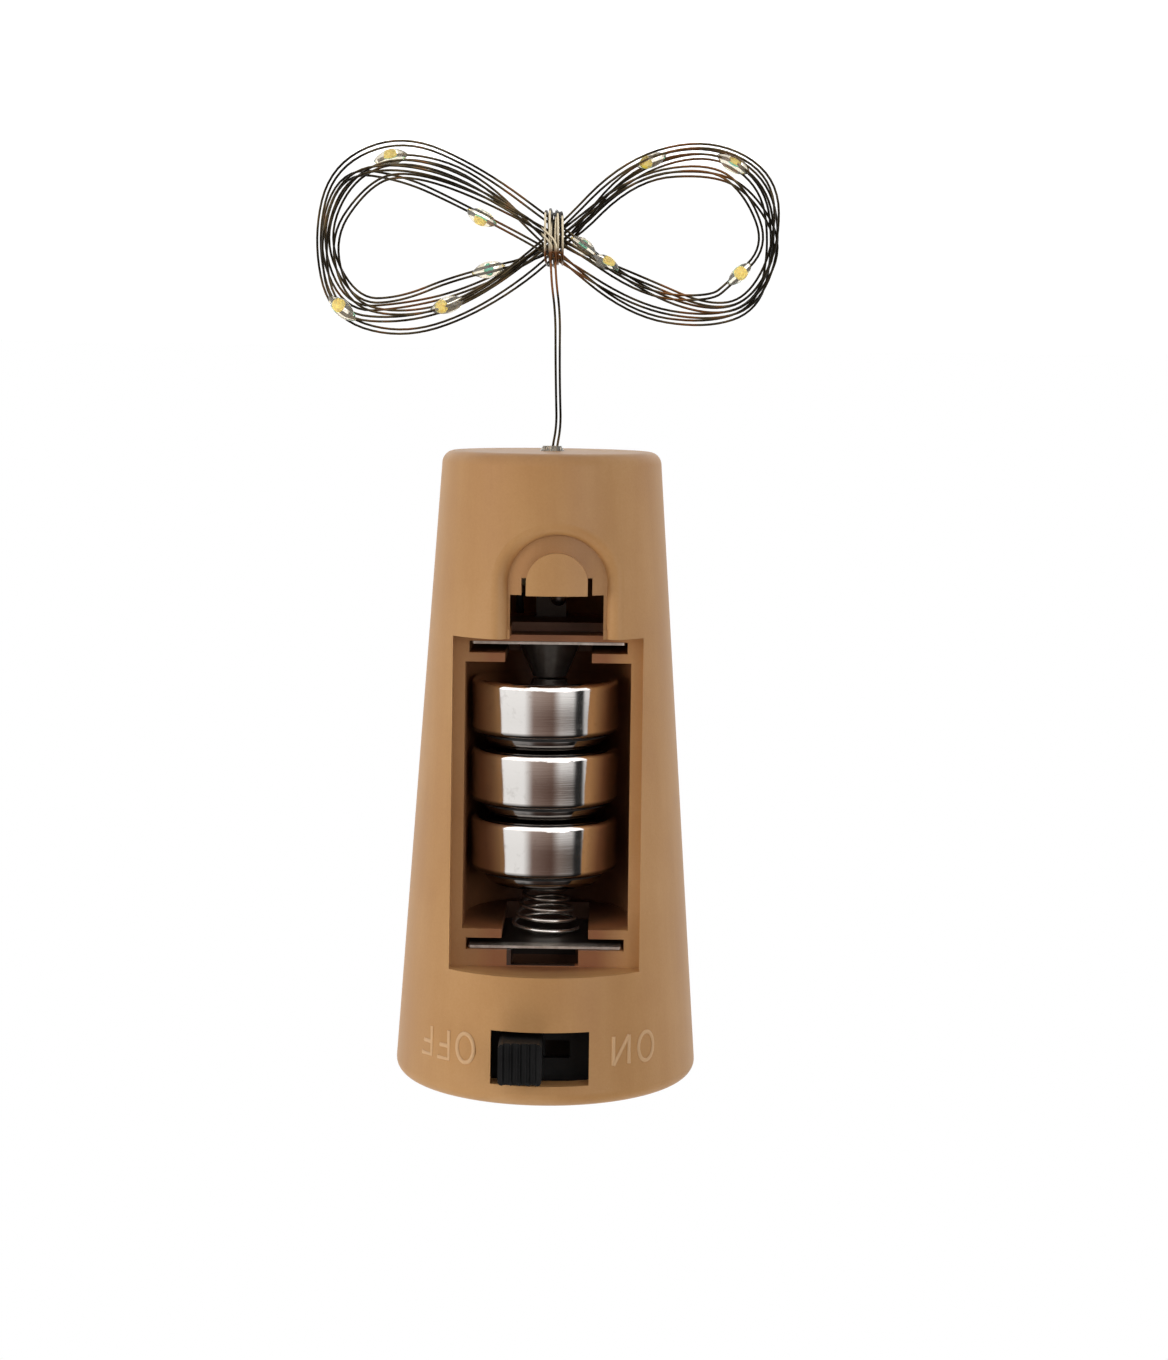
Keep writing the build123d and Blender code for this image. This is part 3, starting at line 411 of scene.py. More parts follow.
class Recipe(Nodes):
    """Geometry Nodes tree with named inputs."""

    def __init__(self, name):
        super().__init__(bpy.data.node_groups.new(name, "GeometryNodeTree"))
        self.sizes = {}
        sockets = self.tree.interface
        sockets.new_socket("Geometry", in_out="INPUT", socket_type="NodeSocketGeometry")
        sockets.new_socket("Geometry", in_out="OUTPUT", socket_type="NodeSocketGeometry")
        self.entry = self.tree.nodes.new("NodeGroupInput")
        self.points = Value(self, self.entry.outputs["Geometry"])

    def size(self, name, value):
        """Named input and the value that the modifier gives it."""
        socket = self.tree.interface.new_socket(name, in_out="INPUT", socket_type="NodeSocketFloat")
        self.sizes[socket.identifier] = value
        return Value(self, self.entry.outputs[name])

    def attribute(self, name):
        """Vector that each point carries under a name."""
        settings = {"data_type": "FLOAT_VECTOR"}
        return self.add("GeometryNodeInputNamedAttribute", settings, {"Name": name})

    def vector(self, x, y, z):
        return self.add("ShaderNodeCombineXYZ", inputs={"X": x, "Y": y, "Z": z})

    def ball(self, segments, rings):
        """Ball of unit diameter, to be shaped."""
        inputs = {"Segments": segments, "Rings": rings, "Radius": 0.5}
        return self.add("GeometryNodeMeshUVSphere", inputs=inputs)

    def close(self, geometry, material):
        """Ends the tree with real geometry that has its material."""
        real = self.add("GeometryNodeRealizeInstances", inputs={"Geometry": geometry})
        smooth = self.add("GeometryNodeSetShadeSmooth", inputs={"Geometry": real})
        inputs = {"Geometry": smooth, "Material": material}
        painted_mesh = self.add("GeometryNodeSetMaterial", inputs=inputs)
        leave = self.tree.nodes.new("NodeGroupOutput")
        self.feed(leave.inputs["Geometry"], painted_mesh)

    def make(self, name, points=()):
        """Plain mesh piece that the tree makes from points."""
        source = bpy.data.meshes.new(name)
        source.from_pydata([point for point, _ in points], [], [])
        for key in points[0][1] if points else ():
            layer = source.attributes.new(key, "FLOAT_VECTOR", "POINT")
            layer.data.foreach_set("vector", [part for _, ways in points for part in ways[key]])
        piece = linked(name, source)
        modifier = piece.modifiers.new("recipe", "NODES")
        modifier.node_group = self.tree
        for identifier, value in self.sizes.items():
            modifier[identifier] = value
        mesh = evaluated_mesh(piece)
        piece.modifiers.clear()
        piece.data = mesh
        mesh.name = name
        return piece


def linear(red, green, blue):
    """Colour for a socket from the values 0 to 255 that a screen shows."""
    shares = [level / 255 for level in (red, green, blue)]
    curve = [s / 12.92 if s <= 0.04045 else ((s + 0.055) / 1.055) ** 2.4 for s in shares]
    return (*curve, 1.0)


def grey(level):
    return (level, level, level, 1.0)


def side_radius(z):
    """Radius of the stopper's tapered side at a height, in millimetres."""
    return NARROW_RADIUS + (z - NARROW_Z) * SIDE_SLOPE


def linked(name, data):
    """New object of the scene."""
    thing = bpy.data.objects.new(name, data)
    bpy.context.scene.collection.objects.link(thing)
    return thing


def evaluated_mesh(piece):
    """Plain mesh of a piece as its curve or its modifiers make it."""
    evaluated = piece.evaluated_get(bpy.context.evaluated_depsgraph_get())
    return bpy.data.meshes.new_from_object(evaluated)


def plain_mesh(name, mesh):
    """Mesh data from a bmesh, which is freed."""
    data = bpy.data.meshes.new(name)
    mesh.to_mesh(data)
    mesh.free()
    return data


# Finishes


def cork_plastic():
    """Moulded plastic in a cork's brown, with soft flow marks and a fine skin.

    It has painted shade inside the bay and is paler where it stands proud.
    """
    finish = Finish("cork_brown_plastic", Specular_IOR_Level=0.42, IOR=1.5)
    cloud = finish.noise(0.09, detail=4.0)
    flow = finish.noise(0.5, detail=5.0, stretch=(1.0, 1.0, 0.12))
    speck = finish.noise(5.0, detail=2.0)
    colour = finish.ramp(
        cloud * 0.55 + flow * 0.3 + speck * 0.15,
        (0.3, linear(174, 125, 76)),
        (0.5, linear(185, 138, 87)),
        (0.7, linear(195, 150, 101)),
    )
    # Painted shade inside the bay: on the cover's seat, on the walls, deep in the trough and in the
    # notch
    depth = finish.depth()
    x, _, z = finish.spot()
    height = (z - NARROW_Z) * (1 / (WIDE_Z - NARROW_Z))
    between_ends = finish.rise(height, *NARROW_FADE) * finish.rise(height, *WIDE_FADE)
    seat = finish.rise(depth, *SEAT_SHADE) * (1 - finish.rise(x, *SEAT_LIGHTER))
    walls = seat + finish.rise(depth, *WALL_SHADE) * (1 - seat)
    colour = finish.mix(walls * between_ends * WALL_STRENGTH, colour, linear(116, 60, 36))
    trough = finish.rise(depth, *TROUGH_SHADE)
    colour = finish.mix(trough * between_ends, colour, linear(28, 16, 10))
    across = (x - NOTCH_X) * (1 / NOTCH_HALF_WIDTH)
    up = (z - NOTCH_Z) * (1 / NOTCH_HALF_HEIGHT)
    in_notch = finish.rise((across * across).largest(up * up), *NOTCH_FADE)
    colour = finish.mix(in_notch * finish.rise(depth, *NOTCH_SHADE), colour, linear(14, 9, 7))
    colour = finish.mix(finish.rise(depth, *PROUD_TINT), colour, linear(222, 184, 142))
    skin = finish.noise(9.0, detail=2.0)
    roughness = 0.36 + cloud * 0.14 + speck * 0.06
    return finish.set(Base_Color=colour, Roughness=roughness, Normal=finish.bump(skin, 0.012))


def cell_steel():
    """Plated steel of the cells: bright, barrelled a little, scuffed, with painted shade at the
    joints.
    """
    finish = Finish("cell_steel", Metallic=1.0)
    lines = finish.noise(2.0, detail=4.0, stretch=(0.2, 0.2, 6.0))
    scuff = finish.noise(1.1, detail=6.0, roughness=0.7)
    worn = finish.rise(scuff, 0.56, 0.76)
    colour = finish.mix(worn * 0.25, linear(232, 228, 224), linear(150, 140, 130))
    low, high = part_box("cell_can_1")
    next_low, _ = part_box("cell_can_2")
    turn_per_mm = FULL_TURN * MM / (next_low.z - low.z)
    middle = (low.z + high.z) / 2 / MM - CELL_CRIMP / 2
    z = finish.spot()[2]
    barrel = ((z - middle) * turn_per_mm).cosine()
    # Painted shade at the joints between cells, over the caps and the ends of the cans
    joint_shade = ((z - high.z / MM - JOINT_SHADE_ABOVE_CAN) * turn_per_mm).cosine()
    faded, dark = (math.cos(reach * turn_per_mm) for reach in (JOINT_SHADE_FADED, JOINT_SHADE_FULL))
    colour = finish.mix(finish.rise(joint_shade, faded, dark, 0.8), colour, linear(56, 48, 43))
    relief = barrel * BARREL_DEPTH + lines * 0.004
    roughness = 0.07 + worn * 0.1 + lines * 0.05
    return finish.set(Base_Color=colour, Roughness=roughness, Normal=finish.bump(relief, 1.0))


def soft_black(name, low, high):
    """Black moulded plastic or rubber with a fine grain."""
    finish = Finish(name, Specular_IOR_Level=0.25)
    grain = finish.noise(7.0, detail=3.0)
    cloud = finish.noise(0.4, detail=3.0)
    colour = finish.ramp(cloud, (0.35, grey(low)), (0.7, grey(high)))
    roughness = 0.4 + grain * 0.2
    return finish.set(Base_Color=colour, Roughness=roughness, Normal=finish.bump(grain, 0.015))


def painted(name, dark, light, rough=0.35):
    """Coloured insulation or lacquer, a little uneven."""
    finish = Finish(name)
    cloud = finish.noise(0.8, detail=4.0)
    colour = finish.ramp(cloud, (0.3, dark), (0.7, light))
    roughness = rough + cloud * 0.15
    return finish.set(Base_Color=colour, Roughness=roughness, Normal=finish.bump(cloud, 0.01))


def bright_metal(name, dark, light, rough=0.22):
    """Plated or bare metal with a mottled tone."""
    finish = Finish(name, Metallic=1.0)
    cloud = finish.noise(1.5, detail=4.0)
    colour = finish.ramp(cloud, (0.3, dark), (0.7, light))
    roughness = rough + cloud * 0.15
    return finish.set(Base_Color=colour, Roughness=roughness, Normal=finish.bump(cloud, 0.006))


def contact_nickel():
    """Plated spring steel of the contacts: bright at its front edges, with painted shade further in.
    """
    finish = Finish("contact_nickel", Metallic=0.7)
    cloud = finish.noise(1.5, detail=4.0)
    colour = finish.ramp(cloud, (0.3, linear(186, 177, 168)), (0.7, linear(226, 219, 210)))
    # Painted shade that darkens the contacts further in behind their front edges
    inner_shade = finish.rise(finish.setback(), *CONTACT_SHADE)
    colour = finish.mix(inner_shade, colour, linear(24, 19, 16))
    roughness = 0.26 + cloud * 0.15
    return finish.set(Base_Color=colour, Roughness=roughness, Normal=finish.bump(cloud, 0.006))


def spring_steel():
    """Bright wire of the contact spring, with painted shade that darkens it towards the cells."""
    finish = Finish("spring_steel", Metallic=0.9)
    low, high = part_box("contact_spring")
    height = (finish.spot()[2] - low.z / MM) * (MM / (high.z - low.z))
    # Painted shade: dark towards the cells and bright near the plate
    colour = finish.ramp(
        height,
        (0.15, linear(112, 102, 95)),
        (0.5, linear(176, 166, 158)),
        (0.8, linear(246, 240, 232)),
    )
    glint = finish.noise(1.5, detail=4.0)
    roughness = 0.18 + glint * 0.12
    return finish.set(Base_Color=colour, Roughness=roughness, Normal=finish.bump(glint, 0.006))


def fairy_wire_metal():
    """Lacquered wire: dark bronze, with stretches of copper, and a painted highlight on the front of
    its tie.
    """
    finish = Finish("fairy_wire", Metallic=1.0)
    stretch = finish.noise(0.16, detail=2.0)
    glint = finish.noise(0.9, detail=3.0)
    colour = finish.ramp(
        stretch * 0.7 + glint * 0.3,
        (0.36, linear(27, 23, 16)),
        (0.48, linear(46, 39, 28)),
        (0.56, linear(92, 79, 56)),
        (0.62, linear(120, 80, 46)),
    )
    x, y, z = finish.spot()
    # Painted highlight on the front of the tie: pale at its middle, copper higher up
    copper = finish.rise(z - WRAP_Z, *TIE_COPPER)
    tie_highlight = finish.mix(copper, linear(222, 208, 180), linear(142, 92, 56))
    tied = finish.rise(x * x, *TIE_WAIST) * finish.rise(y, *TIE_FRONT)
    colour = finish.mix(tied * 0.85, colour, tie_highlight)
    roughness = 0.24 + glint * 0.2
    return finish.set(Base_Color=colour, Roughness=roughness, Normal=finish.bump(glint, 0.01))


def clear_resin():
    """Cast resin of the lights and of the seal: clear, faintly cream and uneven."""
    finish = Finish("clear_resin", Transmission_Weight=0.8, IOR=1.42)
    cloud = finish.noise(1.2, detail=3.0)
    colour = finish.ramp(cloud, (0.35, linear(252, 240, 214)), (0.7, linear(255, 252, 242)))
    roughness = 0.04 + cloud * 0.06
    return finish.set(Base_Color=colour, Roughness=roughness, Normal=finish.bump(cloud, 0.02))


def phosphor():
    """Yellow phosphor over the chip, and the green board that it sits on."""
    finish = Finish("phosphor", Specular_IOR_Level=0.3)
    grain = finish.noise(6.0, detail=3.0)
    colour = finish.ramp(grain, (0.35, linear(248, 208, 44)), (0.65, linear(255, 238, 110)))
    board = finish.add("ShaderNodeAttribute", {"attribute_name": "board"}, output="Fac")
    colour = finish.mix(board, colour, linear(92, 236, 206))
    roughness = 0.45 + grain * 0.15
    return finish.set(Base_Color=colour, Roughness=roughness, Normal=finish.bump(grain, 0.02))


FINISHES = {
    "cork_brown_plastic": cork_plastic(),
    "cell_steel": cell_steel(),
    "cell_gasket": soft_black("cell_gasket", 0.012, 0.03),
    "contact_nickel": contact_nickel(),
    "black_plastic": soft_black("black_plastic", 0.004, 0.01),
    # The board's brown is painted darker, as shade inside the switch
    "board_brown": painted("board_brown", linear(46, 31, 20), linear(64, 44, 28), 0.5),
    "pin_brass": bright_metal("pin_brass", linear(176, 140, 72), linear(206, 172, 100)),
    "clear_resin": clear_resin(),
    "black_sleeve": soft_black("black_sleeve", 0.014, 0.03),
    "resistor_lacquer": painted("resistor_lacquer", linear(206, 178, 130), linear(222, 198, 154)),
    "lead_red": painted("lead_red", linear(168, 26, 22), linear(192, 38, 30)),
    "lead_black": soft_black("lead_black", 0.014, 0.032),
    "solder": bright_metal("solder", linear(150, 150, 152), linear(192, 192, 194), 0.3),
    "fairy_wire": fairy_wire_metal(),
    "phosphor": phosphor(),
}


def paint(piece, slot):
    """Gives a piece the finish of one of the record's slots."""
    piece.data.materials.clear()
    piece.data.materials.append(FINISHES[slot])


def new_piece(name, mesh, slot, body):
    """Finished mesh as a piece that rides on a body."""
    piece = linked(name, mesh)
    paint(piece, slot)
    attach(piece, body)
    return piece


def paint_nodes():
    """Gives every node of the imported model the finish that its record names."""
    for subpart in frame["record"]["subparts"]:
        paint(frame["nodes"][subpart["node"]], subpart["material_slot"])


# Camera, light and floor


def photo_camera():
    """Camera of the photograph: in front, towards the narrow end, turned head down."""
    data = bpy.data.cameras.new("photo_camera")
    data.sensor_width = CAMERA_SENSOR
    data.lens = CAMERA_LENS
    data.clip_start = MM
    camera = linked("photo_camera", data)
    place = Vector(CAMERA_PLACE) * MM
    look = Vector(CAMERA_AIM) * MM - place
    turn = look.to_track_quat("-Z", "Y") @ Quaternion((0, 0, 1), math.pi + CAMERA_LEAN)
    camera.matrix_world = Matrix.LocRotScale(place, turn, None)
    bpy.context.scene.camera = camera


def soft_lamp(name, place, aim, side, power, mirrored):
    """Square studio lamp, which bright metal shows only if it is mirrored."""
    data = bpy.data.lights.new(name, "AREA")
    data.size = side * MM
    data.energy = power
    lamp = linked(name, data)
    look = (Vector(aim) - Vector(place)).to_track_quat("-Z", "Y")
    lamp.matrix_world = Matrix.LocRotScale(Vector(place) * MM, look, None)
    lamp.visible_glossy = mirrored


def seen_directly(nodes):
    """1 for what the camera sees, straight or in metal and resin, and 0 for light on the object."""
    camera_ray = nodes.add("ShaderNodeLightPath", output="Is Camera Ray")
    glossy_ray = nodes.add("ShaderNodeLightPath", output="Is Glossy Ray")
    clear_ray = nodes.add("ShaderNodeLightPath", output="Is Transmission Ray")
    return camera_ray.largest(glossy_ray).largest(clear_ray)


def card_mesh():
    """Sheet curved round the front of the object, with a UV map that runs across and up it."""
    mesh = bmesh.new()
    sheet = mesh.loops.layers.uv.new("card")
    for column in range(CARD_COLUMNS):
        corners = []
        for edge, up in ((column, 0), (column + 1, 0), (column + 1, 1), (column, 1)):
            across = edge / CARD_COLUMNS
            turn = math.radians(CARD_HALF_TURN) * (2 * across - 1)
            height = CARD_LOW + up * (CARD_HIGH - CARD_LOW)
            place = (CARD_RADIUS * math.sin(turn), -CARD_RADIUS * math.cos(turn), height)
            corners.append((Vector(place) * MM, (across, up)))
        face = mesh.faces.new([mesh.verts.new(place) for place, _ in corners])
        for loop, (_, uv) in zip(face.loops, corners):
            loop[sheet].uv = uv
    return plain_mesh("reflection_card", mesh)


def reflection_card():
    """Card that only mirrors show: pale at both sides, with a dark stripe, and dim in the middle."""
    stripes = (
        (0.0, grey(0.9), grey(0.5)),
        (0.115, grey(0.8), grey(0.45)),
        (0.14, grey(0.02), grey(0.02)),
        (0.2, grey(0.02), grey(0.02)),
        (0.235, grey(0.85), linear(92, 84, 80)),
        (0.35, grey(0.9), linear(120, 106, 99)),
        (0.42, linear(150, 130, 120), linear(84, 62, 54)),
        (0.6, linear(176, 160, 152), linear(118, 98, 90)),
        (0.68, grey(1.0), grey(0.9)),
    )
    card = linked("reflection_card", card_mesh())
    finish = Finish(
        "reflection_card",
        Base_Color=grey(0.0),
        Specular_IOR_Level=0.0,
        Emission_Strength=1.0,
    )
    across, up, _ = finish.split(finish.add("ShaderNodeUVMap", {"uv_map": "card"}))
    level = finish.ramp(across, *((place, colour) for place, colour, _ in stripes))
    raised = finish.ramp(across, *((place, colour) for place, _, colour in stripes))
    colour = finish.mix(finish.rise(up, *CARD_RAISED), level, raised)
    colour = finish.mix(finish.rise(up, *CARD_DARK), colour, grey(0.04))
    card.data.materials.append(finish.set(Emission_Color=colour))
    card.visible_camera = False
    card.visible_diffuse = False
    card.visible_transmission = False
    card.visible_volume_scatter = False
    card.visible_shadow = False


def pale_floor():
    """Floor below the hanging wire, which the camera sees as nearly white."""
    mesh = bpy.data.meshes.new("floor")
    sides = ((-1, -1), (1, -1), (1, 1), (-1, 1))
    corners = [Vector((x * FLOOR_REACH, y * FLOOR_REACH, FLOOR_Z)) * MM for x, y in sides]
    mesh.from_pydata(corners, [], [(0, 1, 2, 3)])
    floor = linked("floor", mesh)
    finish = Finish(
        "pale_floor",
        Base_Color=grey(0.82),
        Specular_IOR_Level=0.1,
        Roughness=0.8,
        Emission_Strength=1.0,
    )
    mesh.materials.append(finish.set(Emission_Color=seen_directly(finish) * FLOOR_GLOW))


def studio():
    """White surroundings, soft lamps, the reflection card and the floor."""
    world = bpy.data.worlds.new("studio")
    world.use_nodes = True
    bpy.context.scene.world = world
    nodes = Nodes(world.node_tree)
    background = world.node_tree.nodes["Background"]
    background.inputs["Color"].default_value = grey(1.0)
    nodes.feed(background.inputs["Strength"], AMBIENT + seen_directly(nodes) * (1 - AMBIENT))
    for lamp in LAMPS:
        soft_lamp(*lamp)
    reflection_card()
    pale_floor()


# String of lights


def between(pairs, step):
    """Value at a step from pairs of step and value, along a smooth line through them."""
    index = max(i for i, (at, _) in enumerate(pairs[:-1]) if at <= step or i == 0)
    (start, low), (end, high) = pairs[index], pairs[index + 1]

    def slope(i):
        before = pairs[max(i - 1, 0)]
        after = pairs[min(i + 1, len(pairs) - 1)]
        return (after[1] - before[1]) / (after[0] - before[0])

    span = end - start
    share = (step - start) / span
    rise = high - low
    bend_in = slope(index) * span - rise
    bend_out = rise - slope(index + 1) * span
    return low + share * rise + share * (1 - share) * ((1 - share) * bend_in + share * bend_out)


def side_pairs():
    """Steps of the hank and how far the wire lies beside its middle line there."""
    lights = [(step, side) for step, side, _, _ in LIGHTS]
    pairs = list(lights)
    for place, sides in TURN_SIDES.items():
        for turn, side in enumerate(sides):
            step = place + turn * HANK_STEPS_PER_TURN
            if all(abs(step - light) > LIGHT_SPREAD for light, _ in lights):
                pairs.append((step, side))
    return sorted(pairs)


def hank_point(step, pairs):
    """Point of the figure eight, in millimetres; each turn lies a little further back."""
    angle = FULL_TURN * step / HANK_STEPS_PER_TURN
    along_x = HANK_REACH * math.cos(angle)
    along_z = -2 * HANK_RISE * math.cos(2 * angle)
    speed = math.hypot(along_x, along_z)
    side = between(pairs, step)
    middle_step = (HANK_FIRST_STEP + HANK_END_STEP) / 2
    depth = HANK_DRIFT * (step - middle_step) / HANK_STEPS_PER_TURN
    return Vector(
        (
            HANK_REACH * math.sin(angle) - side * along_z / speed,
            depth - HANK_SWING * math.cos(angle),
            HANK_Z + side * along_x / speed - HANK_RISE * math.sin(2 * angle),
        )
    )


def wrap_point(turn):
    """Point of the wraps: rounded oblongs round the waist, each over the last and out of line."""
    angle = FULL_TURN * turn
    depth = math.copysign(abs(math.cos(angle)) ** WRAP_SQUARENESS, math.cos(angle))
    height = math.copysign(abs(math.sin(angle)) ** WRAP_SQUARENESS, math.sin(angle))
    return Vector(
        (
            between(WRAP_PLACES, turn),
            -(WRAP_HALF_DEPTH + WRAP_DEPTH_PITCH * turn) * depth,
            WRAP_Z - (WRAP_HALF_HEIGHT + WRAP_HEIGHT_PITCH * turn) * height,
        )
    )


def wire_route():
    """Control points of the whole wire, in millimetres: lead, wraps and hank.

    Those of the hank stand further out, by as much as the spline passes inside them.
    """
    pairs = side_pairs()
    points = [Vector(point) for point in LEAD_ROUTE]
    for step in range(WRAP_TURNS * WRAP_STEPS_PER_TURN + 1):
        points.append(wrap_point(step / WRAP_STEPS_PER_TURN))
    for step in range(HANK_FIRST_STEP, HANK_LAST_STEP + 1):
        before, middle, after = (hank_point(step + shift, pairs) for shift in (-1, 0, 1))
        points.append(middle * (1 + 2 * SPLINE_INSET) - (before + after) * SPLINE_INSET)
    points.append(hank_point(HANK_END_STEP, pairs))
    return points


def smooth_line(points):
    """Points read from the smooth spline that has these control points, in metres."""
    data = bpy.data.curves.new("wire_route", "CURVE")
    data.dimensions = "3D"
    spline = data.splines.new("NURBS")
    spline.points.add(len(points) - 1)
    for control, point in zip(spline.points, points):
        control.co = (*(point * MM), 1.0)
    spline.order_u = 3
    spline.use_endpoint_u = True
    spline.resolution_u = WIRE_STEPS_PER_POINT
    route = linked("wire_route", data)
    mesh = evaluated_mesh(route)
    line = [vertex.co.copy() for vertex in mesh.vertices]
    bpy.data.objects.remove(route)
    bpy.data.meshes.remove(mesh)
    return line


def directions(line):
    """Unit tangent at each point of a line."""
    ends = [line[0], *line, line[-1]]
    return [(after - before).normalized() for before, after in zip(ends, ends[2:])]


def strand_ways(line):
    """Directions along the wire and from strand to strand, at each point of its line."""
    ways = []
    travelled = 0.0
    before = line[0]
    across = Vector((1, 0, 0))
    for point, along in zip(line, directions(line)):
        travelled += (point - before).length
        before = point
        across = (across - along * across.dot(along)).normalized()
        flat = along.cross(Vector((0, 1, 0)))
        if flat.length > FLAT_LEAST:
            if flat.dot(across) < 0:
                flat = -flat
            across = across.lerp(flat.normalized(), FLAT_PULL).normalized()
        turn = STRAND_SWAY * math.sin(FULL_TURN * travelled / (STRAND_SWAY_LENGTH * MM))
        ways.append((along, Quaternion(along, turn) @ across))
    return ways


def strand_mesh(line):
    """Two round strands side by side along a line, swaying slowly about each other."""
    mesh = bmesh.new()
    ways = strand_ways(line)
    for side in (-1, 1):
        last_ring = None
        for point, (along, beside) in zip(line, ways):
            middle = point + beside * (side * STRAND_APART / 2 * MM)
            third = along.cross(beside)
            ring = []
            for corner in range(STRAND_SIDES):
                angle = FULL_TURN * corner / STRAND_SIDES
                spoke = beside * math.cos(angle) + third * math.sin(angle)
                ring.append(mesh.verts.new(middle + spoke * (STRAND_DIAMETER / 2 * MM)))
            if last_ring:
                for corner in range(STRAND_SIDES):
                    after = (corner + 1) % STRAND_SIDES
                    quad = (last_ring[corner], last_ring[after], ring[after], ring[corner])
                    mesh.faces.new(quad).smooth = True
            else:
                mesh.faces.new(reversed(ring))
            last_ring = ring
        mesh.faces.new(last_ring)
    bmesh.ops.recalc_face_normals(mesh, faces=mesh.faces)
    return plain_mesh("fairy_wire", mesh)


def light_places(line):
    """Places of the drops and of their chips, with the wire's direction and where the chip faces."""
    pairs = side_pairs()
    ways = directions(line)
    search_from = int(len(line) * LIGHTLESS_SHARE)
    drops = []
    chips = []
    for step, _, facing, offset in LIGHTS:
        target = hank_point(step, pairs) * MM
        index = min(range(search_from, len(line)), key=lambda i: (line[i] - target).length)
        along = ways[index]
        outward = Vector(facing)
        outward = (outward - along * outward.dot(along)).normalized()
        share = BARE_BOARD_SHARE if facing == BACK else 1.0
        turned = {"along": along, "facing": outward, "share": (share, share, share)}
        drops.append((line[index], turned))
        chips.append((line[index] + along * (offset * MM), turned))
    return drops, chips


def on_wire(recipe, shape, scale):
    """Instances of a shape at the lights, turned along the wire and towards the chip's side."""
    align = "FunctionNodeAlignRotationToVector"
    along = recipe.add(align, {"axis": "Z"}, {"Vector": recipe.attribute("along")})
    inputs = {"Rotation": along, "Vector": recipe.attribute("facing")}
    turned = recipe.add(align, {"axis": "X", "pivot_axis": "Z"}, inputs)
    inputs = {"Points": recipe.points, "Instance": shape, "Rotation": turned, "Scale": scale}
    return recipe.add("GeometryNodeInstanceOnPoints", inputs=inputs)


def resin_drops(places):
    """Drops of resin: pointed towards the wire at both ends, each a little lumpy."""
    recipe = Recipe("resin_drops")
    length = recipe.size("Drop length", DROP_LENGTH * MM)
    width = recipe.size("Drop width", DROP_WIDTH * MM)
    lump = recipe.size("Lump", DROP_LUMP * MM)
    ball = recipe.ball(DROP_SEGMENTS, DROP_RINGS)
    x, y, z = recipe.split(recipe.add("GeometryNodeInputPosition"))
    taper = 1.0 - z * z * DROP_TAPER
    bulge = x * taper * width + taper * width * DROP_BULGE
    shaped = recipe.vector(bulge, y * taper * width, z * length)
    drop = recipe.add("GeometryNodeSetPosition", inputs={"Geometry": ball, "Position": shaped})
    inputs = {2: DROP_LEAST, 3: DROP_MOST, "Seed": DROP_SEED}
    varied = recipe.add("FunctionNodeRandomValue", {"data_type": "FLOAT"}, inputs, output=1)
    drops = on_wire(recipe, drop, varied)
    real = recipe.add("GeometryNodeRealizeInstances", inputs={"Geometry": drops})
    where = recipe.add("GeometryNodeInputPosition")
    inputs = {"Vector": where, "Scale": DROP_LUMPS_PER_MM / MM, "Detail": 1.0}
    swell = (recipe.add("ShaderNodeTexNoise", inputs=inputs) - 0.5) * lump
    inputs = {"Vector": recipe.add("GeometryNodeInputNormal"), "Scale": swell}
    offset = recipe.add("ShaderNodeVectorMath", {"operation": "SCALE"}, inputs)
    lumpy = recipe.add("GeometryNodeSetPosition", inputs={"Geometry": real, "Offset": offset})
    recipe.close(lumpy, FINISHES["clear_resin"])
    return recipe.make("resin_drops", places)


def chip_domes(places):
    """Chips on the wire, inside the drops: phosphor domes on small boards."""
    recipe = Recipe("chip_domes")
    size = recipe.size("Chip size", CHIP_SIZE * MM)
    ball = recipe.ball(CHIP_SEGMENTS, CHIP_RINGS)
    x, y, z = recipe.split(recipe.add("GeometryNodeInputPosition"))
    raised = x.largest(CHIP_BACK) * CHIP_DOME * size + CHIP_RAISED * MM
    square = CHIP_BREADTH - CHIP_ROUNDING * (y * y + z * z)
    shaped = recipe.vector(raised, y * square * size, z * square * size)
    behind = recipe.add("FunctionNodeCompare", {"operation": "LESS_THAN"}, {0: x, 1: 0.0})
    inputs = {"Geometry": ball, "Name": "board", "Value": behind}
    marked = recipe.add("GeometryNodeStoreNamedAttribute", inputs=inputs)
    dome = recipe.add("GeometryNodeSetPosition", inputs={"Geometry": marked, "Position": shaped})
    domes = on_wire(recipe, dome, recipe.attribute("share"))
    recipe.close(domes, FINISHES["phosphor"])
    return recipe.make("chip_domes", places)


def string_of_lights():
    """Wire, drops and chips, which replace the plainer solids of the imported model."""
    line = smooth_line(wire_route())
    wire = new_piece("fairy_wire", strand_mesh(line), "fairy_wire", "stopper")
    drop_places, chip_places = light_places(line)
    drops = resin_drops(drop_places)
    chips = chip_domes(chip_places)
    for piece, slot in ((drops, "clear_resin"), (chips, "phosphor")):
        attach(piece, "stopper")
    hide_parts("fairy_wire_hank", "fairy_wire_lead")
    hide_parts("led_beads")
    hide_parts("led_chips")


# Contact spring


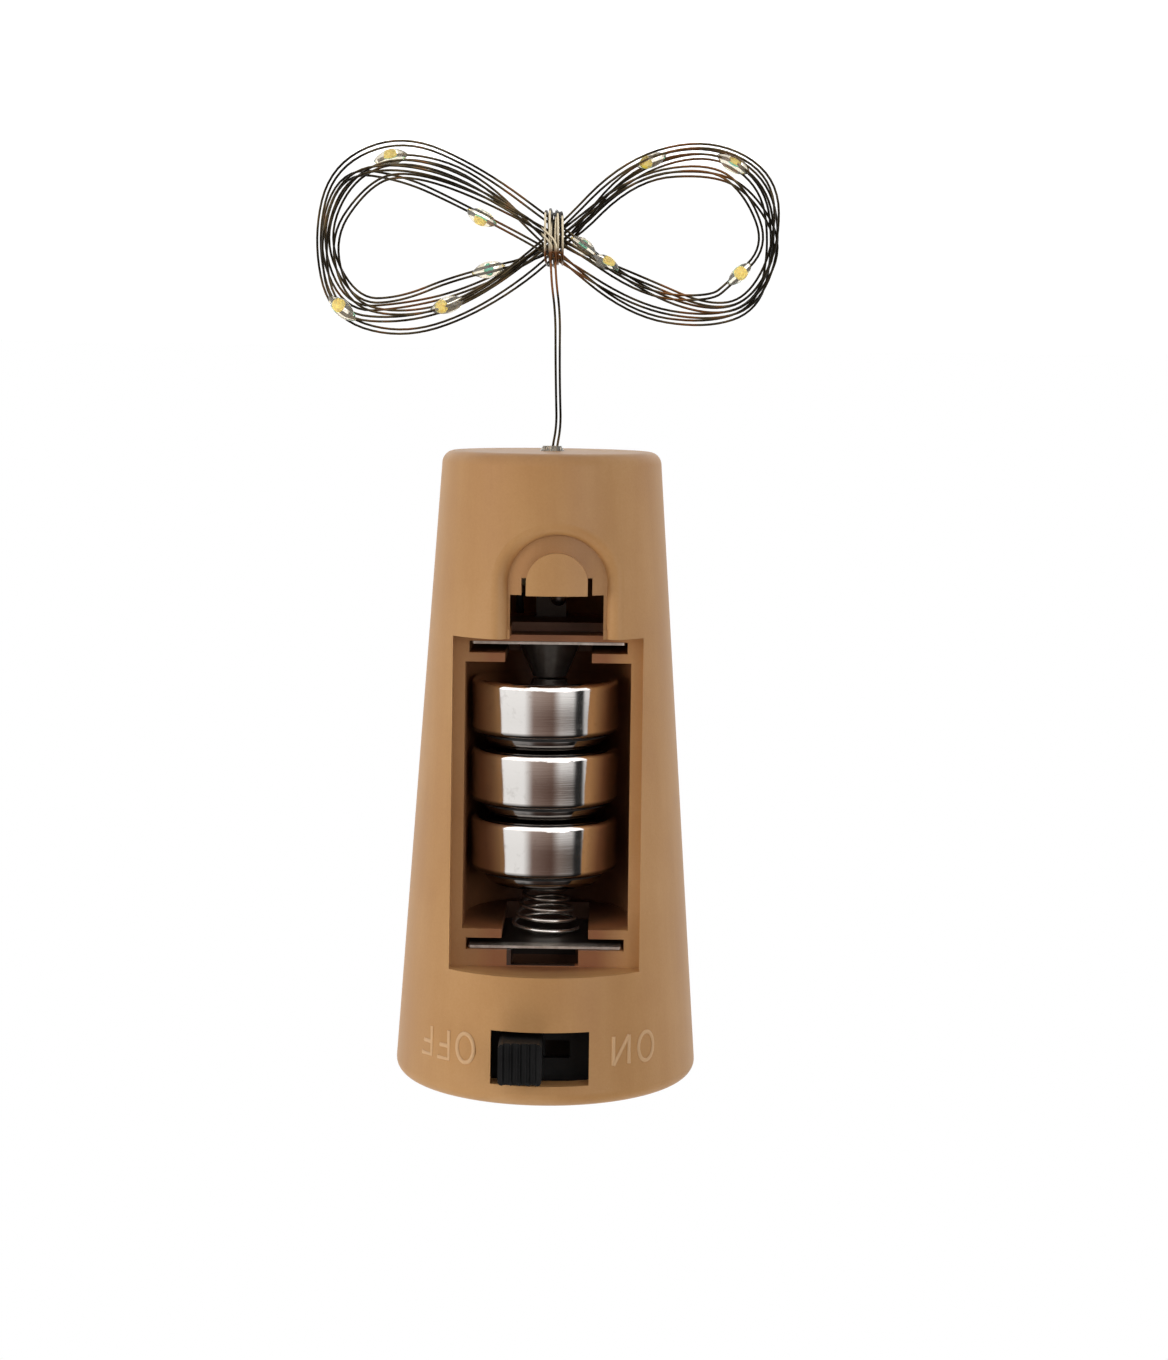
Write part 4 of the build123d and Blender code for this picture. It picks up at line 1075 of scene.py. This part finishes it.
def contact_spring():
    """Cone-shaped coil between the plate and the last cell."""
    low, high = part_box("contact_spring")
    recipe = Recipe("contact_spring")
    wire = recipe.size("Wire", SPRING_WIRE * MM)
    tip = recipe.size("Tip radius", SPRING_TIP_DIAMETER / 2 * MM)
    base = recipe.size("Base radius", SPRING_BASE_DIAMETER / 2 * MM)
    turns = recipe.size("Turns", SPRING_TURNS)
    height = recipe.size("Height", high.z - low.z - SPRING_WIRE * MM)
    inputs = {
        "Resolution": SPRING_STEPS_PER_TURN,
        "Rotations": turns,
        "Start Radius": tip,
        "End Radius": base,
        "Height": height,
    }
    coil = recipe.add("GeometryNodeCurveSpiral", inputs=inputs)
    inputs = {"Resolution": SPRING_SIDES, "Radius": wire * 0.5}
    section = recipe.add("GeometryNodeCurvePrimitiveCircle", inputs=inputs)
    inputs = {"Curve": coil, "Profile Curve": section, "Fill Caps": True}
    tube = recipe.add("GeometryNodeCurveToMesh", inputs=inputs)
    middle = (low + high) / 2
    place = (middle.x, middle.y, low.z + SPRING_WIRE / 2 * MM)
    moved = recipe.add("GeometryNodeTransform", inputs={"Geometry": tube, "Translation": place})
    recipe.close(moved, spring_steel())
    spring = recipe.make("coil_spring")
    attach(spring, "stopper")
    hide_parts("contact_spring")


# Raised words


def letter_strokes(letter):
    """Strokes of a letter in a box of unit height, each a list of points, read from outside."""
    if letter == "O":
        angles = [FULL_TURN * step / O_STEPS for step in range(O_STEPS + 1)]
        return [[(O_HALF_WIDTH * math.cos(angle), 0.5 * math.sin(angle)) for angle in angles]]
    if letter == "F":
        stem = [(-F_HALF_WIDTH, -0.5), (-F_HALF_WIDTH, 0.5), (F_HALF_WIDTH, 0.5)]
        bar = [(-F_HALF_WIDTH, F_BAR_UP), (F_BAR_END, F_BAR_UP)]
        return [stem, bar]
    left = [(-N_HALF_WIDTH, -0.5), (-N_HALF_WIDTH, 0.5)]
    slant = [(-N_HALF_WIDTH, -0.5), (N_HALF_WIDTH, 0.5)]
    right = [(N_HALF_WIDTH, 0.5), (N_HALF_WIDTH, -0.5)]
    return [left, slant, right]


def raised_words():
    """ON and OFF as thin raised lines on the stopper's tapered side."""
    data = bpy.data.curves.new("switch_words", "CURVE")
    data.dimensions = "3D"
    data.bevel_depth = LETTER_STROKE / 2 * MM
    data.bevel_resolution = LETTER_ROUNDING
    data.use_fill_caps = True
    for letter, centre in OFF_LETTERS + ON_LETTERS:
        for stroke in letter_strokes(letter):
            spline = data.splines.new("POLY")
            spline.points.add(len(stroke) - 1)
            for control, (across, up) in zip(spline.points, stroke):
                z = LETTER_Z + up * LETTER_HEIGHT
                radius = side_radius(z) - LETTER_SUNK
                turn = (centre + across * LETTER_HEIGHT) / radius
                spot = (radius * math.sin(turn), -radius * math.cos(turn), z)
                control.co = (*(part * MM for part in spot), 1.0)
    source = linked("switch_words", data)
    mesh = evaluated_mesh(source)
    bpy.data.objects.remove(source)
    new_piece("raised_words", mesh, "cork_brown_plastic", "stopper")


bpy.context.scene.view_settings.view_transform = "Standard"
photo_camera()
studio()
paint_nodes()
string_of_lights()
contact_spring()
raised_words()
